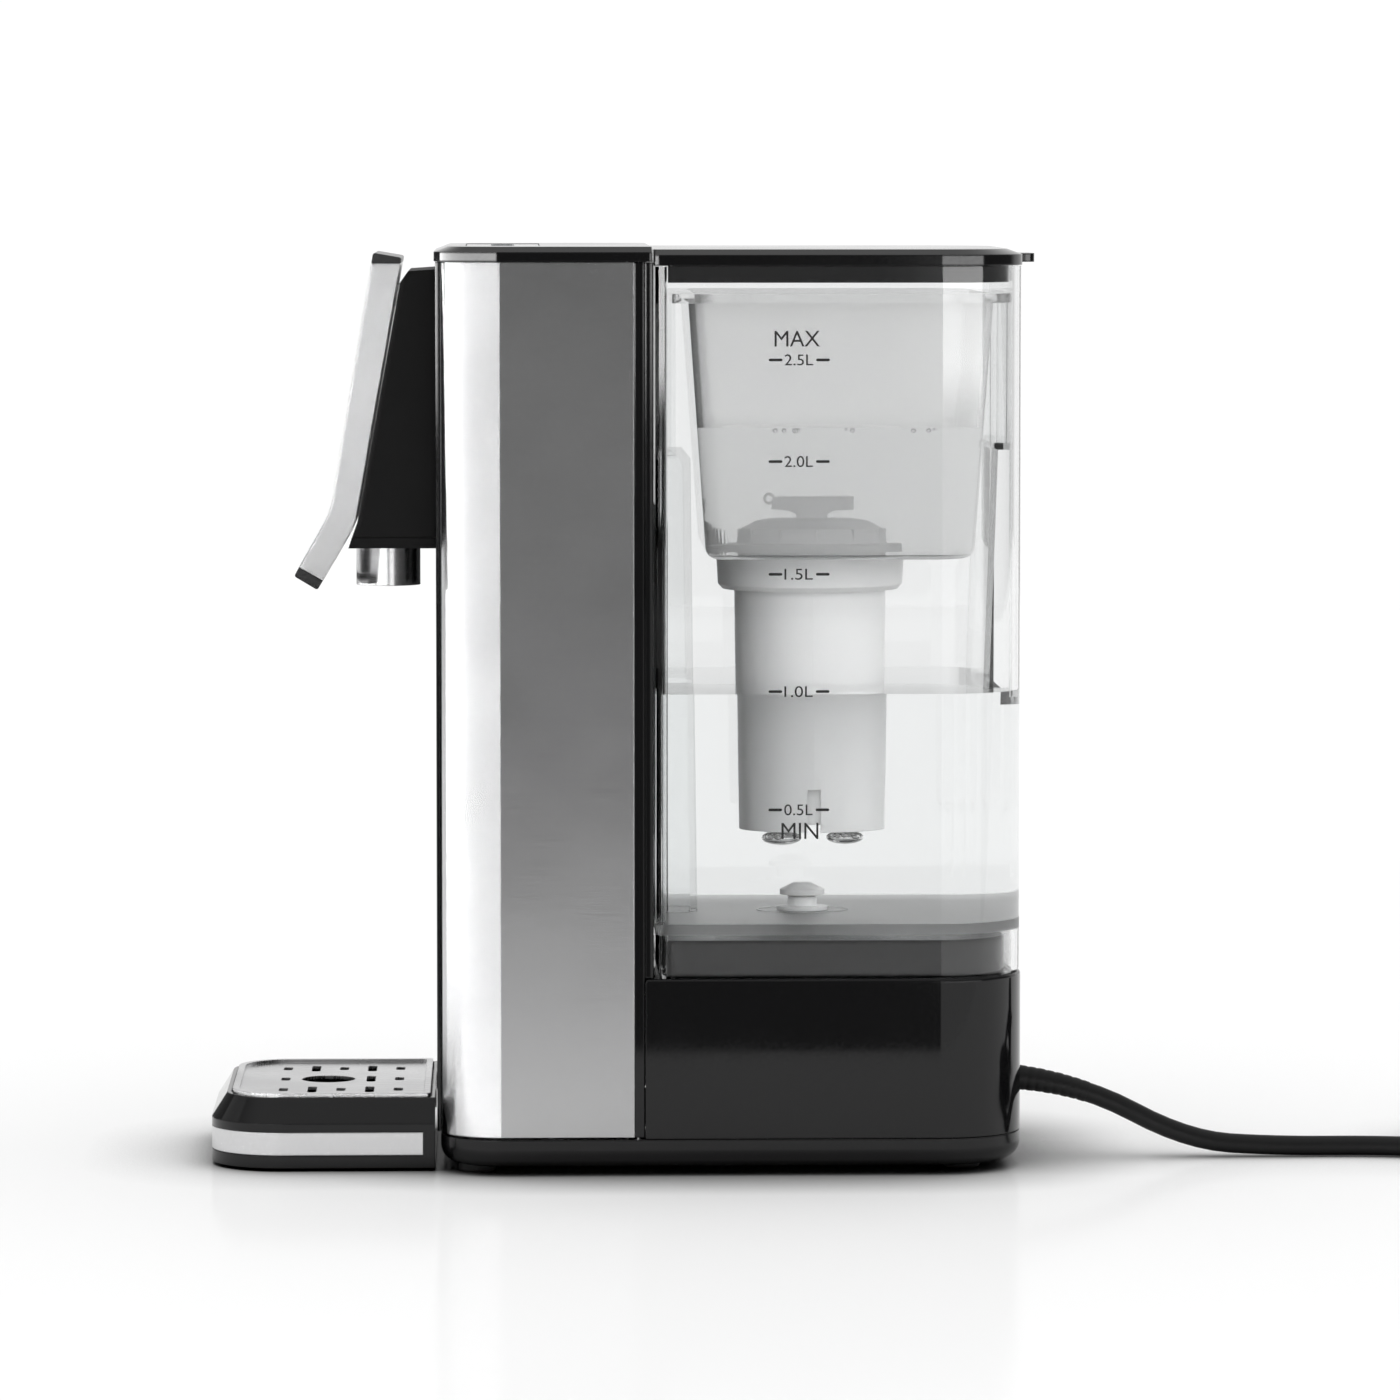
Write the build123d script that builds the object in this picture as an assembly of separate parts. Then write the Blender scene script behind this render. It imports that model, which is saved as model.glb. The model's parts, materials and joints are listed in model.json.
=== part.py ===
from build123d import *
import math
import os

# Countertop hot-water dispenser with a clear rear tank and a filter funnel.
# Millimetres. X is the width, -Y is the front (spout and drip tray), +Y is the rear
# (tank and mains lead), Z is up. The origin is on the standing surface, below the
# middle of the machine.

# ---- overall ----
HALF_WIDTH = 68.0
TOP = 305.5
FRONT = -137.6
REAR = 137.6

# ---- base ----
FOOT_TOP = 3.4
BASE_LOW = 2.8
BASE_TOP = 12.2
BASE_FRONT = -61.0
BASE_REAR = 131.7
COLUMN_CORNER = 20.0
REAR_CORNER = 28.0
BASE_WALL = 2.6
BASE_FLOOR_TOP = 5.4
FOOT_RADIUS = 6.2
FOOT_SPOTS = [(50.0, -49.0), (-50.0, -49.0), (44.0, 112.0), (-44.0, 112.0)]
SCREW_SPOTS = [
    (58.0, -24.0),
    (-58.0, -24.0),
    (59.5, 36.0),
    (-59.5, 36.0),
    (59.0, 92.0),
    (-59.0, 92.0),
]
SCREW_RADIUS = 1.5
SCREW_HEAD_RADIUS = 2.9

# ---- column ----
COLUMN_LOW = 13.0
COLUMN_TOP = 300.4
STEEL_HALF = 67.6
STEEL_FRONT = -61.0
STEEL_REAR = 2.8
STEEL_THICK = 0.8
PANEL_HALF = 50.0
PANEL_FRONT = -62.2
SEAM_Y = 6.3
COVER_REAR = 9.2
CAP_LOW = 300.6
CAP_BAND_TOP = 303.7
CAP_FRONT = -62.7
CAP_REAR = 8.7

# ---- rear lower housing and tank pedestal ----
SHELF_LOW = 12.5
SHELF_TOP = 65.4
PEDESTAL_TOP = 77.5
DOCK_Y = 60.0

# ---- tank ----
TANK_HALF = 67.6
TANK_FRONT = 9.8
TANK_REAR = 131.2
TANK_WALL = 2.5
TANK_CORNER = 27.5
TANK_LOW = 66.2
TANK_TOP = 299.0
FLOOR_LOW = 80.0
FLOOR_TOP = 83.0
TANK_RIB_LOW = 77.9
GROOVE_HALF = 8.5
GROOVE_TOP = 235.0
GROOVE_LINER = 2.3
RIB_HALF = 5.5
RIB_TOP = 221.5
RIB_LOW = 78.2
RIB_REAR = 15.0
GRIP_HALF = 35.0
GRIP_LOW = 156.0
GRIP_TOP = 238.0

# ---- lid ----
LID_LOW = 299.3
LID_BAND_TOP = 302.8
LID_FRONT = 9.3
LID_SLOPE = 5.0
LID_WALL = 1.8
LID_SKIRT_HALF = 63.6
LID_SKIRT_FRONT = 14.0
LID_SKIRT_REAR = 127.2
LID_TOP = 304.6
LID_SKIRT_LOW = 293.7
LID_TAB_HALF = 16.0

# ---- filter ----
FILTER_Y = 63.2
FLANGE_LOW = 287.0
FLANGE_TOP = 290.0
FUNNEL_LOW = 202.3
FUNNEL_WALL = 1.8
SLEEVE_LOW = 110.5
COLLAR_LOW = 190.2
SLEEVE_BORE = 23.7
NECK_RADIUS = 27.6

# ---- spout ----
SPOUT_HALF = 38.0
SPOUT_LOW = 205.6
SPOUT_TRIM_TOP = 209.3
SPOUT_WALL = 2.2
NOZZLE_Y = -78.6
NOZZLE_RADIUS = 10.75
NOZZLE_LOW = 191.6
PIVOT_Y = -68.5
PIVOT_Z = 289.0
PIN_RADIUS = 1.5
LEVER_HALF = 34.0
LUG_X = 24.0
LUG_THICK = 4.0
LUG_RADIUS = 3.4
RUNNING_GAP = 0.05
LEVER_TOP = [(-73.4, 301.6), (-82.8, 303.2)]
LEVER_FRONT_BEND = (-97.3, 217.4)
LEVER_TIP = [(-109.3, 196.2), (-101.6, 191.6)]
LEVER_REAR_BEND = (-89.2, 212.5)
LEVER_CAP_LOW = 299.6
LEVER_END_DEPTH = 3.6
LEVER_RIM = 3.0
LEVER_RECESS = 2.4

# ---- filter cartridge ----
CARTRIDGE_LOW = 113.0
CARTRIDGE_TOP = 205.0
CARTRIDGE_RADIUS = 23.2
CARTRIDGE_FOOT_RADIUS = 22.4
CARTRIDGE_NECK = 198.0
CARTRIDGE_WALL = 1.4
CARTRIDGE_HOLES = 8
CARTRIDGE_HOLE_RING = 14.0
MEDIA_TOP = 190.0
DOME_FLANGE_RADIUS = 30.3
DOME_FLANGE_TOP = 206.8
DOME_RADIUS = 24.4
DOME_TOP = 215.3
DOME_RIBS = 12
HANDLE_FOOT = 5.2
HANDLE_REACH = 14.0
HANDLE_WAIST = 217.8
HANDLE_TOP = 222.6
HANDLE_HALF = 2.2

# ---- docking cup and tank valve ----
SOCKET_RADIUS = 15.0
SOCKET_BORE = 8.7
SOCKET_LOW = 64.0
SOCKET_FLOOR = 67.0
SOCKET_TOP = 77.2
SEAL_GROOVE = 73.0
SEAL_SHELF = 75.0
OPENER_TOP = 72.4
OPENER_RADIUS = 1.6
SOCKET_HOLE_RING = 4.4
SOCKET_HOLE_RADIUS = 1.1
VALVE_STEM_RADIUS = 2.0
VALVE_STEM_LOW = 72.9
VALVE_CLIP_TOP = 73.7
VALVE_CLIP_RADIUS = 3.4
VALVE_HEAD_LOW = 88.3
VALVE_HEAD_TOP = 92.2
VALVE_HEAD_RADIUS = 7.5
BUSH_LOW = 70.5
BUSH_GUIDE_LOW = 77.5
BUSH_GUIDE_TOP = 87.5
BUSH_FLANGE_TOP = 84.4

# ---- boards ----
BOARD_THICK = 1.6
CONTROL_BOARD_Z = 294.0
KEY_PITCH = 16.0
KEY_HALF = 4.0
POWER_BOARD_Z = 18.0

# ---- drip tray ----
TRAY_LOW = 1.2
TRAY_HALF = 53.5
TRAY_REAR = -62.9
TRAY_CORNER = 24.0
TRAY_SHOULDER = 15.9
TRAY_TOP = 24.0
TRAY_INSET = 5.2
TRAY_WALL = 2.4
TRAY_RIM = 1.4
TRAY_FOOT_SPOTS = [(40.0, -75.0), (-40.0, -75.0), (0.0, -123.6)]
TRAY_FOOT_RADIUS = 5.0
BAND_LOW = 5.4
BAND_TOP = 13.1
SLOT_COLUMNS = [-113.8, -104.2, -94.6, -85.0, -75.4]
SLOT_ROW_X = 27.5
SLOT_WIDTH = 3.0
SLOT_LONG = 15.0
SLOT_SHORT = 8.0
DRAIN_RADIUS = 9.0

# ---- water path ----
HOSE_RADIUS = 5.0
HOSE_BORE = 3.2
PUMP_Y = 95.0
HEATER_Y = -25.0
HEATER_RADIUS = 20.0
HEATER_LOW = 60.0
HEATER_TOP = 190.0
PUMP_PORT_Z = 42.0

# ---- mains lead ----
CORD_RADIUS = 3.3
COIL_RADIUS = 36.2
COIL_HALF = 11.4
COIL_X = 1.2
COIL_Y = 314.5
CORD_ROUTE = [
    (25.0, 131.9, 27.2),
    (25.0, 153.5, 24.8),
    (25.4, 189.0, 5.6),
    (24.6, 219.0, 3.5),
    (23.6, 254.0, 3.5),
    (32.0, 277.0, 3.5),
    (40.6, 295.0, 3.5),
]
LEAD_ROUTE = [
    (-2.0, 357.5, 9.9),
    (-15.0, 357.5, 11.2),
    (-29.0, 357.3, 16.6),
    (-41.0, 357.0, 18.2),
]
PLUG_X, PLUG_Y, _ = LEAD_ROUTE[-1]
PLUG_RADIUS = 18.4
PLUG_LENGTH = 42.0
PLUG_PIN_RADIUS = 2.4
PLUG_PIN_LENGTH = 19.0


def plan(half, front, rear, front_radius, rear_radius):
    """A rectangle seen from above with its front and rear corners rounded."""
    sheet = Pos(0, (front + rear) / 2) * Rectangle(2 * half, rear - front)
    if front_radius:
        sheet = fillet(sheet.vertices().group_by(Axis.Y)[0], front_radius)
    if rear_radius:
        sheet = fillet(sheet.vertices().group_by(Axis.Y)[-1], rear_radius)
    return sheet


def slab(sheet, low, high):
    """A flat outline raised from one height to another."""
    return extrude(Pos(0, 0, low) * sheet, high - low)


def block(x_low, x_high, y_low, y_high, z_low, z_high):
    """A box given by its six faces."""
    centre = Pos((x_low + x_high) / 2, (y_low + y_high) / 2, (z_low + z_high) / 2)
    return centre * Box(x_high - x_low, y_high - y_low, z_high - z_low)


def pillar(x, y, low, high, radius):
    """An upright cylinder."""
    return Pos(x, y, (low + high) / 2) * Cylinder(radius, high - low)


def ring(x, y, low, high, outer, inner):
    """An upright tube."""
    return pillar(x, y, low, high, outer) - pillar(x, y, low - 1, high + 1, inner)


def cross_bar(half, y, z, radius):
    """A cylinder along X, centred on the machine."""
    return Pos(0, y, z) * Rot(0, 90, 0) * Cylinder(radius, 2 * half)


def side_solid(points, half):
    """A side outline given as (Y, Z) points, as wide as the two halves."""
    return extrude(Plane.YZ * Polygon(*points, align=None), half, both=True)


def turned(points, y):
    """A solid of revolution about the upright axis at this Y, from (radius, Z) points."""
    face = Plane.XZ * Polygon(*points, align=None)
    return Pos(0, y, 0) * revolve(face, Axis.Z)


def hose(points, bend, outer, bore):
    """A hose whose straight runs are joined by tangent arcs."""
    path = FilletPolyline(*points, radius=bend)
    start = path @ 0
    section = Plane(start, z_dir=path % 0) * (Circle(outer) - Circle(bore))
    return sweep(section, path=path)


def turn_radii(route):
    """The largest arc that fits at each corner of a lead's route."""
    radii = []
    for before, here, after in zip(route, route[1:], route[2:]):
        run_in = Vector(*here) - Vector(*before)
        run_out = Vector(*after) - Vector(*here)
        turn = math.radians(run_in.get_angle(run_out))
        radii.append(0.45 * min(run_in.length, run_out.length) / math.tan(turn / 2))
    return radii


def lead(route):
    """A round lead along a route of points."""
    radii = turn_radii(route)
    path = FilletPolyline(*route, radius=radii)
    section = Plane(path @ 0, z_dir=path % 0) * Circle(CORD_RADIUS)
    solid = sweep(section, path=path)
    expected = math.pi * CORD_RADIUS**2 * path.length
    print("lead radii", [round(r, 1) for r in radii], "length", round(path.length, 1))
    print("lead volume over section times length", round(solid.volume / expected, 4))
    return solid


# ---- base ----
def base_plate():
    outline = plan(HALF_WIDTH, BASE_FRONT, BASE_REAR, COLUMN_CORNER, REAR_CORNER)
    solid = slab(outline, BASE_LOW, BASE_TOP)
    solid = fillet(solid.faces().sort_by(Axis.Z)[0].edges(), 6.0)
    pocket = plan(
        HALF_WIDTH - BASE_WALL,
        BASE_FRONT + BASE_WALL,
        BASE_REAR - BASE_WALL,
        COLUMN_CORNER - BASE_WALL,
        REAR_CORNER - BASE_WALL,
    )
    solid -= slab(pocket, BASE_FLOOR_TOP, BASE_TOP + 1)
    for x, y in SCREW_SPOTS:
        solid += pillar(x, y, BASE_FLOOR_TOP - 0.5, BASE_TOP, 5.0)
        solid -= pillar(x, y, 0, BASE_TOP + 1, SCREW_RADIUS + 0.2)
        solid -= pillar(x, y, 0, BASE_LOW + 2.0, SCREW_HEAD_RADIUS + 0.3)
    for x, y in FOOT_SPOTS:
        solid -= pillar(x, y, 0, FOOT_TOP, FOOT_RADIUS + 0.2)
    for row in range(7):
        vent_y = 40.0 + 6.0 * row
        solid -= block(-18, 18, vent_y, vent_y + 2.5, 0, BASE_FLOOR_TOP + 1)
    return solid


def rubber_feet():
    feet = []
    for x, y in FOOT_SPOTS:
        foot = pillar(x, y, 0, FOOT_TOP, FOOT_RADIUS)
        feet.append(fillet(foot.faces().sort_by(Axis.Z)[0].edges(), 1.0))
    return Compound(children=feet)


def base_screws():
    screws = []
    for x, y in SCREW_SPOTS:
        head = pillar(x, y, BASE_LOW + 0.4, BASE_LOW + 2.0, SCREW_HEAD_RADIUS)
        slot_wide = block(x - 2, x + 2, y - 0.4, y + 0.4, BASE_LOW, BASE_LOW + 1.2)
        slot_deep = block(x - 0.4, x + 0.4, y - 2, y + 2, BASE_LOW, BASE_LOW + 1.2)
        shank = pillar(x, y, BASE_LOW + 2.0, BASE_TOP + 9.0, SCREW_RADIUS)
        screws.append(head + shank - slot_wide - slot_deep)
    return Compound(children=screws)


def base_housing():
    """The gloss lower box behind the column, open underneath."""
    solid = slab(plan(HALF_WIDTH, SEAM_Y + 0.2, BASE_REAR, 0, REAR_CORNER), SHELF_LOW, SHELF_TOP)
    solid = fillet(solid.faces().sort_by(Axis.Z)[-1].edges(), 1.2)
    wall = 2.5
    inner = plan(HALF_WIDTH - wall, SEAM_Y + 0.2 + wall, BASE_REAR - wall, 0, REAR_CORNER - wall)
    solid -= slab(inner, SHELF_LOW - 1, SHELF_TOP - wall)
    solid -= block(-55, 55, SEAM_Y - 2, SEAM_Y + 5, SHELF_LOW + 6, SHELF_TOP - 6)
    solid -= pillar(0, DOCK_Y, SHELF_TOP - 5, SHELF_TOP + 1, 15.6)
    gland_x, _, gland_z = CORD_ROUTE[0]
    solid -= Pos(gland_x, BASE_REAR, gland_z) * Rot(90, 0, 0) * Cylinder(6.2, 20)
    for x, y in SCREW_SPOTS[2:]:
        outward = math.copysign(1.0, x)
        web_ends = sorted((x, outward * (HALF_WIDTH - 1.0)))
        boss = pillar(x, y, SHELF_LOW, SHELF_LOW + 16, 4.0)
        boss += block(web_ends[0], web_ends[1], y - 1.5, y + 1.5, SHELF_LOW, SHELF_LOW + 16)
        solid += boss
        solid -= pillar(x, y, SHELF_LOW - 1, SHELF_LOW + 12, SCREW_RADIUS + 0.05)
    return solid


def tank_pedestal():
    """The raised black step that the tank's skirt drops over."""
    solid = slab(plan(62.6, 13.4, 126.4, 3.0, 23.0), SHELF_TOP, PEDESTAL_TOP)
    solid = fillet(solid.faces().sort_by(Axis.Z)[-1].edges(), 1.0)
    solid -= slab(plan(60.2, 15.8, 124.0, 1.5, 20.6), SHELF_TOP - 1, PEDESTAL_TOP - 2.4)
    solid -= pillar(0, DOCK_Y, SHELF_TOP - 1, PEDESTAL_TOP + 1, 15.2)
    return solid


def docking_socket():
    """The cup in the pedestal that the tank's valve plugs into, with its opener pin."""
    cup = [
        (0, SOCKET_LOW),
        (0, SOCKET_FLOOR),
        (SOCKET_BORE, SOCKET_FLOOR),
        (SOCKET_BORE, SEAL_GROOVE),
        (SOCKET_BORE + 1.4, SEAL_GROOVE),
        (SOCKET_BORE + 1.4, SEAL_SHELF),
        (SOCKET_BORE + 0.5, SEAL_SHELF),
        (SOCKET_BORE + 0.5, SOCKET_TOP),
        (SOCKET_RADIUS, SOCKET_TOP),
        (SOCKET_RADIUS, SOCKET_LOW),
    ]
    solid = turned(cup, DOCK_Y)
    solid += pillar(0, DOCK_Y, SOCKET_FLOOR - 1, OPENER_TOP, OPENER_RADIUS)
    solid += pillar(0, DOCK_Y, 57.0, 65.0, 7.5)
    solid += pillar(0, DOCK_Y, 52.4, 58.0, 3.1)
    solid -= pillar(0, DOCK_Y, 59.0, 64.0, 6.0)
    solid -= pillar(0, DOCK_Y, 52.0, 60.0, 2.0)
    for step in range(4):
        angle = math.radians(90 * step + 45)
        x = SOCKET_HOLE_RING * math.cos(angle)
        y = DOCK_Y + SOCKET_HOLE_RING * math.sin(angle)
        solid -= pillar(x, y, SOCKET_LOW - 2, SOCKET_FLOOR + 2, SOCKET_HOLE_RADIUS)
    return solid


def docking_seal():
    return ring(0, DOCK_Y, 73.2, 74.8, 9.9, 8.4)


# ---- column ----
def spout_window(y):
    """The opening through which hose and wires pass from the column to the spout."""
    return block(-32, 32, y - 2, y + 3, 212, 290)


def steel_wrap():
    """One sheet bent round the column's sides and front, open at the rear."""
    outer = slab(plan(STEEL_HALF, STEEL_FRONT, STEEL_REAR, COLUMN_CORNER, 0), COLUMN_LOW, COLUMN_TOP)
    inner = plan(
        STEEL_HALF - STEEL_THICK,
        STEEL_FRONT + STEEL_THICK,
        STEEL_REAR + 1,
        COLUMN_CORNER - STEEL_THICK,
        0,
    )
    solid = outer - slab(inner, COLUMN_LOW - 1, COLUMN_TOP + 1)
    return solid - spout_window(STEEL_FRONT)


def front_panel():
    """The gloss black panel on the front of the steel, behind spout and tray."""
    solid = block(-PANEL_HALF, PANEL_HALF, PANEL_FRONT, STEEL_FRONT, COLUMN_LOW, COLUMN_TOP)
    solid = fillet(solid.edges().filter_by(Axis.Z).group_by(Axis.Y)[0], 0.8)
    return solid - spout_window(PANEL_FRONT)


def column_rear_cover():
    """Black rear frame of the column with the wall and guide rib that face the tank."""
    strip_inner = STEEL_HALF - 2.8
    solid = block(-STEEL_HALF, STEEL_HALF, STEEL_REAR + 0.1, COVER_REAR, COLUMN_LOW, COLUMN_TOP)
    solid = fillet(solid.edges().filter_by(Axis.Z).group_by(Axis.Y)[-1], 1.0)
    side = HALF_WIDTH + 1
    low = COLUMN_LOW - 1
    solid -= block(-side, side, SEAM_Y, COVER_REAR + 1, low, SHELF_TOP + 0.3)
    solid -= block(-strip_inner, strip_inner, STEEL_REAR - 1, SEAM_Y + 0.4, low, COLUMN_TOP + 1)
    for side in (-1, 1):
        groove = Pos(side * STEEL_HALF, SEAM_Y, 0) * Box(0.8, 0.4, 2 * COLUMN_TOP)
        solid -= groove
    rib = [
        (COVER_REAR - 1, RIB_LOW),
        (RIB_REAR, RIB_LOW),
        (RIB_REAR - 0.6, RIB_TOP - 12),
        (COVER_REAR - 1, RIB_TOP),
    ]
    return solid + side_solid(rib, RIB_HALF)


def inner_chassis():
    """The upright frame inside the column that carries heater, board and covers."""
    wall_rear = 1.4
    wall_front = -1.4
    solid = block(-65.5, 65.5, wall_front, wall_rear, COLUMN_LOW, COLUMN_TOP - 2)
    for side in (-1, 1):
        edge = side * 64.1
        solid += block(edge - 1.2, edge + 1.2, -38, wall_rear, COLUMN_LOW, COLUMN_TOP - 2)
    solid -= block(-48, -32, -3, 3, 30, 56)
    for level in (HEATER_LOW + 22, HEATER_TOP - 22):
        arm = block(-26, 26, HEATER_Y, wall_front + 0.5, level - 4, level + 4)
        solid += arm - pillar(0, HEATER_Y, level - 6, level + 6, HEATER_RADIUS + 0.3)
    for x, y in SCREW_SPOTS[:2]:
        boss = block(x - 6, x + 6, y - 5, y + 5, COLUMN_LOW, COLUMN_LOW + 14)
        solid += boss - pillar(x, y, COLUMN_LOW - 1, COLUMN_LOW + 10, SCREW_RADIUS + 0.05)
    return solid


def top_cap():
    """Gloss cover of the column: an upright band under a shallow sloped top."""
    rim = plan(HALF_WIDTH, CAP_FRONT, CAP_REAR, COLUMN_CORNER + 0.8, 0.6)
    slope = 4.6
    crown = plan(HALF_WIDTH - slope, CAP_FRONT + slope, CAP_REAR, COLUMN_CORNER + 0.8 - slope, 0.6)
    solid = slab(rim, CAP_LOW, CAP_BAND_TOP)
    solid += loft([Pos(0, 0, CAP_BAND_TOP) * rim, Pos(0, 0, TOP) * crown])
    hollow = plan(HALF_WIDTH - 3, CAP_FRONT + 5, CAP_REAR - 3, COLUMN_CORNER - 4, 0)
    solid -= slab(hollow, CAP_LOW - 1, CAP_BAND_TOP - 0.8)
    solid -= block(-40.3, 40.3, -52.3, -27.7, CAP_LOW, TOP + 1)
    return solid


def control_panel():
    """The flush touch glass in the cap."""
    return block(-40, 40, -52, -28, TOP - 1.6, TOP - 0.1)


def control_board():
    """The key board under the touch glass: five touch pads and a connector."""
    top = CONTROL_BOARD_Z + BOARD_THICK
    solid = block(-42, 42, -54, -10, CONTROL_BOARD_Z, top)
    for column in (-2, -1, 0, 1, 2):
        x = KEY_PITCH * column
        solid += block(x - KEY_HALF, x + KEY_HALF, -44, -36, top - 0.4, top + 2.4)
    solid += block(-20, 20, -24, -16, top - 0.4, top + 3.9)
    return solid


def power_board():
    """The mains board in the base: a transformer, a relay and a capacitor on a plate."""
    top = POWER_BOARD_Z + BOARD_THICK
    solid = block(22, 60, 48, 86, POWER_BOARD_Z, top)
    solid += block(26, 40, 52, 66, top - 0.4, top + 14.4)
    solid += block(44, 56, 54, 76, top - 0.4, top + 10.4)
    solid += pillar(34, 76, top - 0.4, top + 16.4, 6.0)
    return solid


# ---- spout ----
def spout_housing():
    """The black nose on the column's front that holds lever, outlet and switch."""
    rear = PANEL_FRONT - 0.1
    front_low_y = -90.0
    outline = [
        (rear, SPOUT_TRIM_TOP),
        (front_low_y, SPOUT_TRIM_TOP),
        (-88.3, 214.0),
        (-73.9, 293.4),
        (-71.2, 297.2),
        (rear, 297.8),
    ]
    solid = side_solid(outline, SPOUT_HALF)
    at_sides = solid.edges().filter_by(lambda e: abs(e.center().X) > SPOUT_HALF - 1)
    front_edges = at_sides.filter_by(lambda e: e.center().Y < -75 and e.length > 4)
    solid = fillet(front_edges.filter_by(lambda e: e.center().Z > 211), 1.6)
    inner = [
        (rear + 1, SPOUT_TRIM_TOP - 1),
        (front_low_y + 3.0, SPOUT_TRIM_TOP - 1),
        (-85.9, 214.4),
        (-71.9, 292.0),
        (-69.8, 294.8),
        (rear + 1, 295.6),
    ]
    solid -= side_solid(inner, SPOUT_HALF - SPOUT_WALL)
    for side in (-1, 1):
        x = side * LUG_X
        solid -= block(x - 2.8, x + 2.8, -80, -70, PIVOT_Z - 6.2, PIVOT_Z + 5.0)
    return solid - cross_bar(SPOUT_HALF - 1.0, PIVOT_Y, PIVOT_Z, PIN_RADIUS + 0.02)


def spout_bottom_cover():
    rear = PANEL_FRONT - 0.1
    high = SPOUT_TRIM_TOP - 0.1
    outline = [(rear, SPOUT_LOW), (-91.2, SPOUT_LOW), (-90.05, high), (rear, high)]
    solid = side_solid(outline, SPOUT_HALF)
    return solid - pillar(0, NOZZLE_Y, SPOUT_LOW - 1, SPOUT_TRIM_TOP + 1, NOZZLE_RADIUS + 0.1)


def nozzle_shroud():
    """The steel tube round the outlet."""
    return ring(0, NOZZLE_Y, NOZZLE_LOW, SPOUT_TRIM_TOP - 0.2, NOZZLE_RADIUS, NOZZLE_RADIUS - 1.2)


def nozzle_outlet():
    """The silicone outlet inside the shroud, with a ring of small holes."""
    z = NOZZLE_LOW
    profile = [
        (0, z + 2),
        (0, z + 9),
        (2.2, z + 9),
        (2.2, z + 20),
        (4.0, z + 20),
        (4.0, z + 12),
        (9.4, z + 10),
        (9.4, z + 2),
    ]
    solid = turned(profile, NOZZLE_Y)
    for step in range(6):
        angle = math.radians(60 * step)
        x = 1.6 * math.cos(angle)
        y = NOZZLE_Y + 1.6 * math.sin(angle)
        solid -= pillar(x, y, z, z + 12, 0.45)
    return solid


def corners_at(face, spot):
    """The corners of a side outline that lie at a (Y, Z) spot."""
    return face.vertices().filter_by(lambda v: abs(v.Y - spot[0]) < 0.1 and abs(v.Z - spot[1]) < 0.1)


def lever_solid(half):
    """The whole lever: a long upper run, then a lip bent forward."""
    points = [LEVER_TOP[1], LEVER_FRONT_BEND, *LEVER_TIP, LEVER_REAR_BEND, LEVER_TOP[0]]
    face = Plane.YZ * Polygon(*points, align=None)
    face = fillet(corners_at(face, LEVER_FRONT_BEND), 26.0)
    face = fillet(corners_at(face, LEVER_REAR_BEND), 16.0)
    for spot in LEVER_TOP + LEVER_TIP:
        face = fillet(corners_at(face, spot), 0.8)
    return extrude(face, half, both=True)


def above_cap_seam(margin):
    """The space above the seam between the chrome and the black top end."""
    return block(-50, 50, -120, -50, LEVER_CAP_LOW + margin, 320)


def beyond_end_seam(margin):
    """The space beyond the seam between the chrome and the black lower end."""
    front_tip, rear_tip = LEVER_TIP
    tip_y = (front_tip[0] + rear_tip[0]) / 2
    tip_z = (front_tip[1] + rear_tip[1]) / 2
    run_y = LEVER_FRONT_BEND[0] - front_tip[0]
    run_z = LEVER_FRONT_BEND[1] - front_tip[1]
    lean = math.degrees(math.atan2(run_y, run_z))
    size = 40.0
    shift = LEVER_END_DEPTH - margin - size / 2
    return Pos(0, tip_y, tip_z) * Rot(-lean, 0, 0) * Pos(0, 0, shift) * Box(2 * LEVER_HALF + 10, size, size)


def lever_recess(gap):
    """The shallow space in the front of the frame for the gloss face, or the face itself."""
    outer = lever_solid(LEVER_HALF - LEVER_RIM - gap)
    return outer - Pos(0, LEVER_RECESS - gap, 0) * lever_solid(LEVER_HALF + 5)


def lever_frame():
    """The chrome channel of the lever, with the two lugs it swings on."""
    recess = lever_recess(0)
    solid = lever_solid(LEVER_HALF) - above_cap_seam(0) - beyond_end_seam(0) - recess
    for side in (-1, 1):
        x = side * LUG_X
        half = LUG_THICK / 2
        low = PIVOT_Z - LUG_RADIUS
        high = PIVOT_Z + LUG_RADIUS
        lug = block(x - half, x + half, -78.5, PIVOT_Y, low, high)
        lug += Pos(x, PIVOT_Y, PIVOT_Z) * Rot(0, 90, 0) * Cylinder(LUG_RADIUS, LUG_THICK)
        solid += lug
    return solid - cross_bar(LEVER_HALF, PIVOT_Y, PIVOT_Z, PIN_RADIUS + RUNNING_GAP)


def lever_face():
    """The gloss black inlay over the front of the lever."""
    return lever_recess(0.1) - above_cap_seam(-0.1) - beyond_end_seam(-0.1)


def lever_top_cap():
    return lever_solid(LEVER_HALF) & above_cap_seam(0.1)


def lever_end_cap():
    return lever_solid(LEVER_HALF) & beyond_end_seam(0.1)


def lever_pivot_pin():
    return cross_bar(SPOUT_HALF - 1.2, PIVOT_Y, PIVOT_Z, PIN_RADIUS)


def lever_spring():
    """The return spring round the pin, drawn as its close-wound outer shape with two legs."""
    barrel = Pos(0, PIVOT_Y, PIVOT_Z) * Rot(0, 90, 0) * (Cylinder(3.0, 24) - Cylinder(1.9, 30))
    leg = block(-11.5, -10.5, PIVOT_Y + 1.9, PIVOT_Y + 2.9, PIVOT_Z, 294.0)
    other = block(10.5, 11.5, PIVOT_Y + 1.9, PIVOT_Y + 2.9, PIVOT_Z, 294.0)
    return barrel + leg + other


def lever_microswitch():
    solid = block(LUG_X + 4.0, LUG_X + 9.0, -70.0, -63.0, 272.0, 283.0)
    return solid + block(LUG_X + 5.5, LUG_X + 7.5, -70.8, -69.5, 276.0, 278.0)


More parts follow.
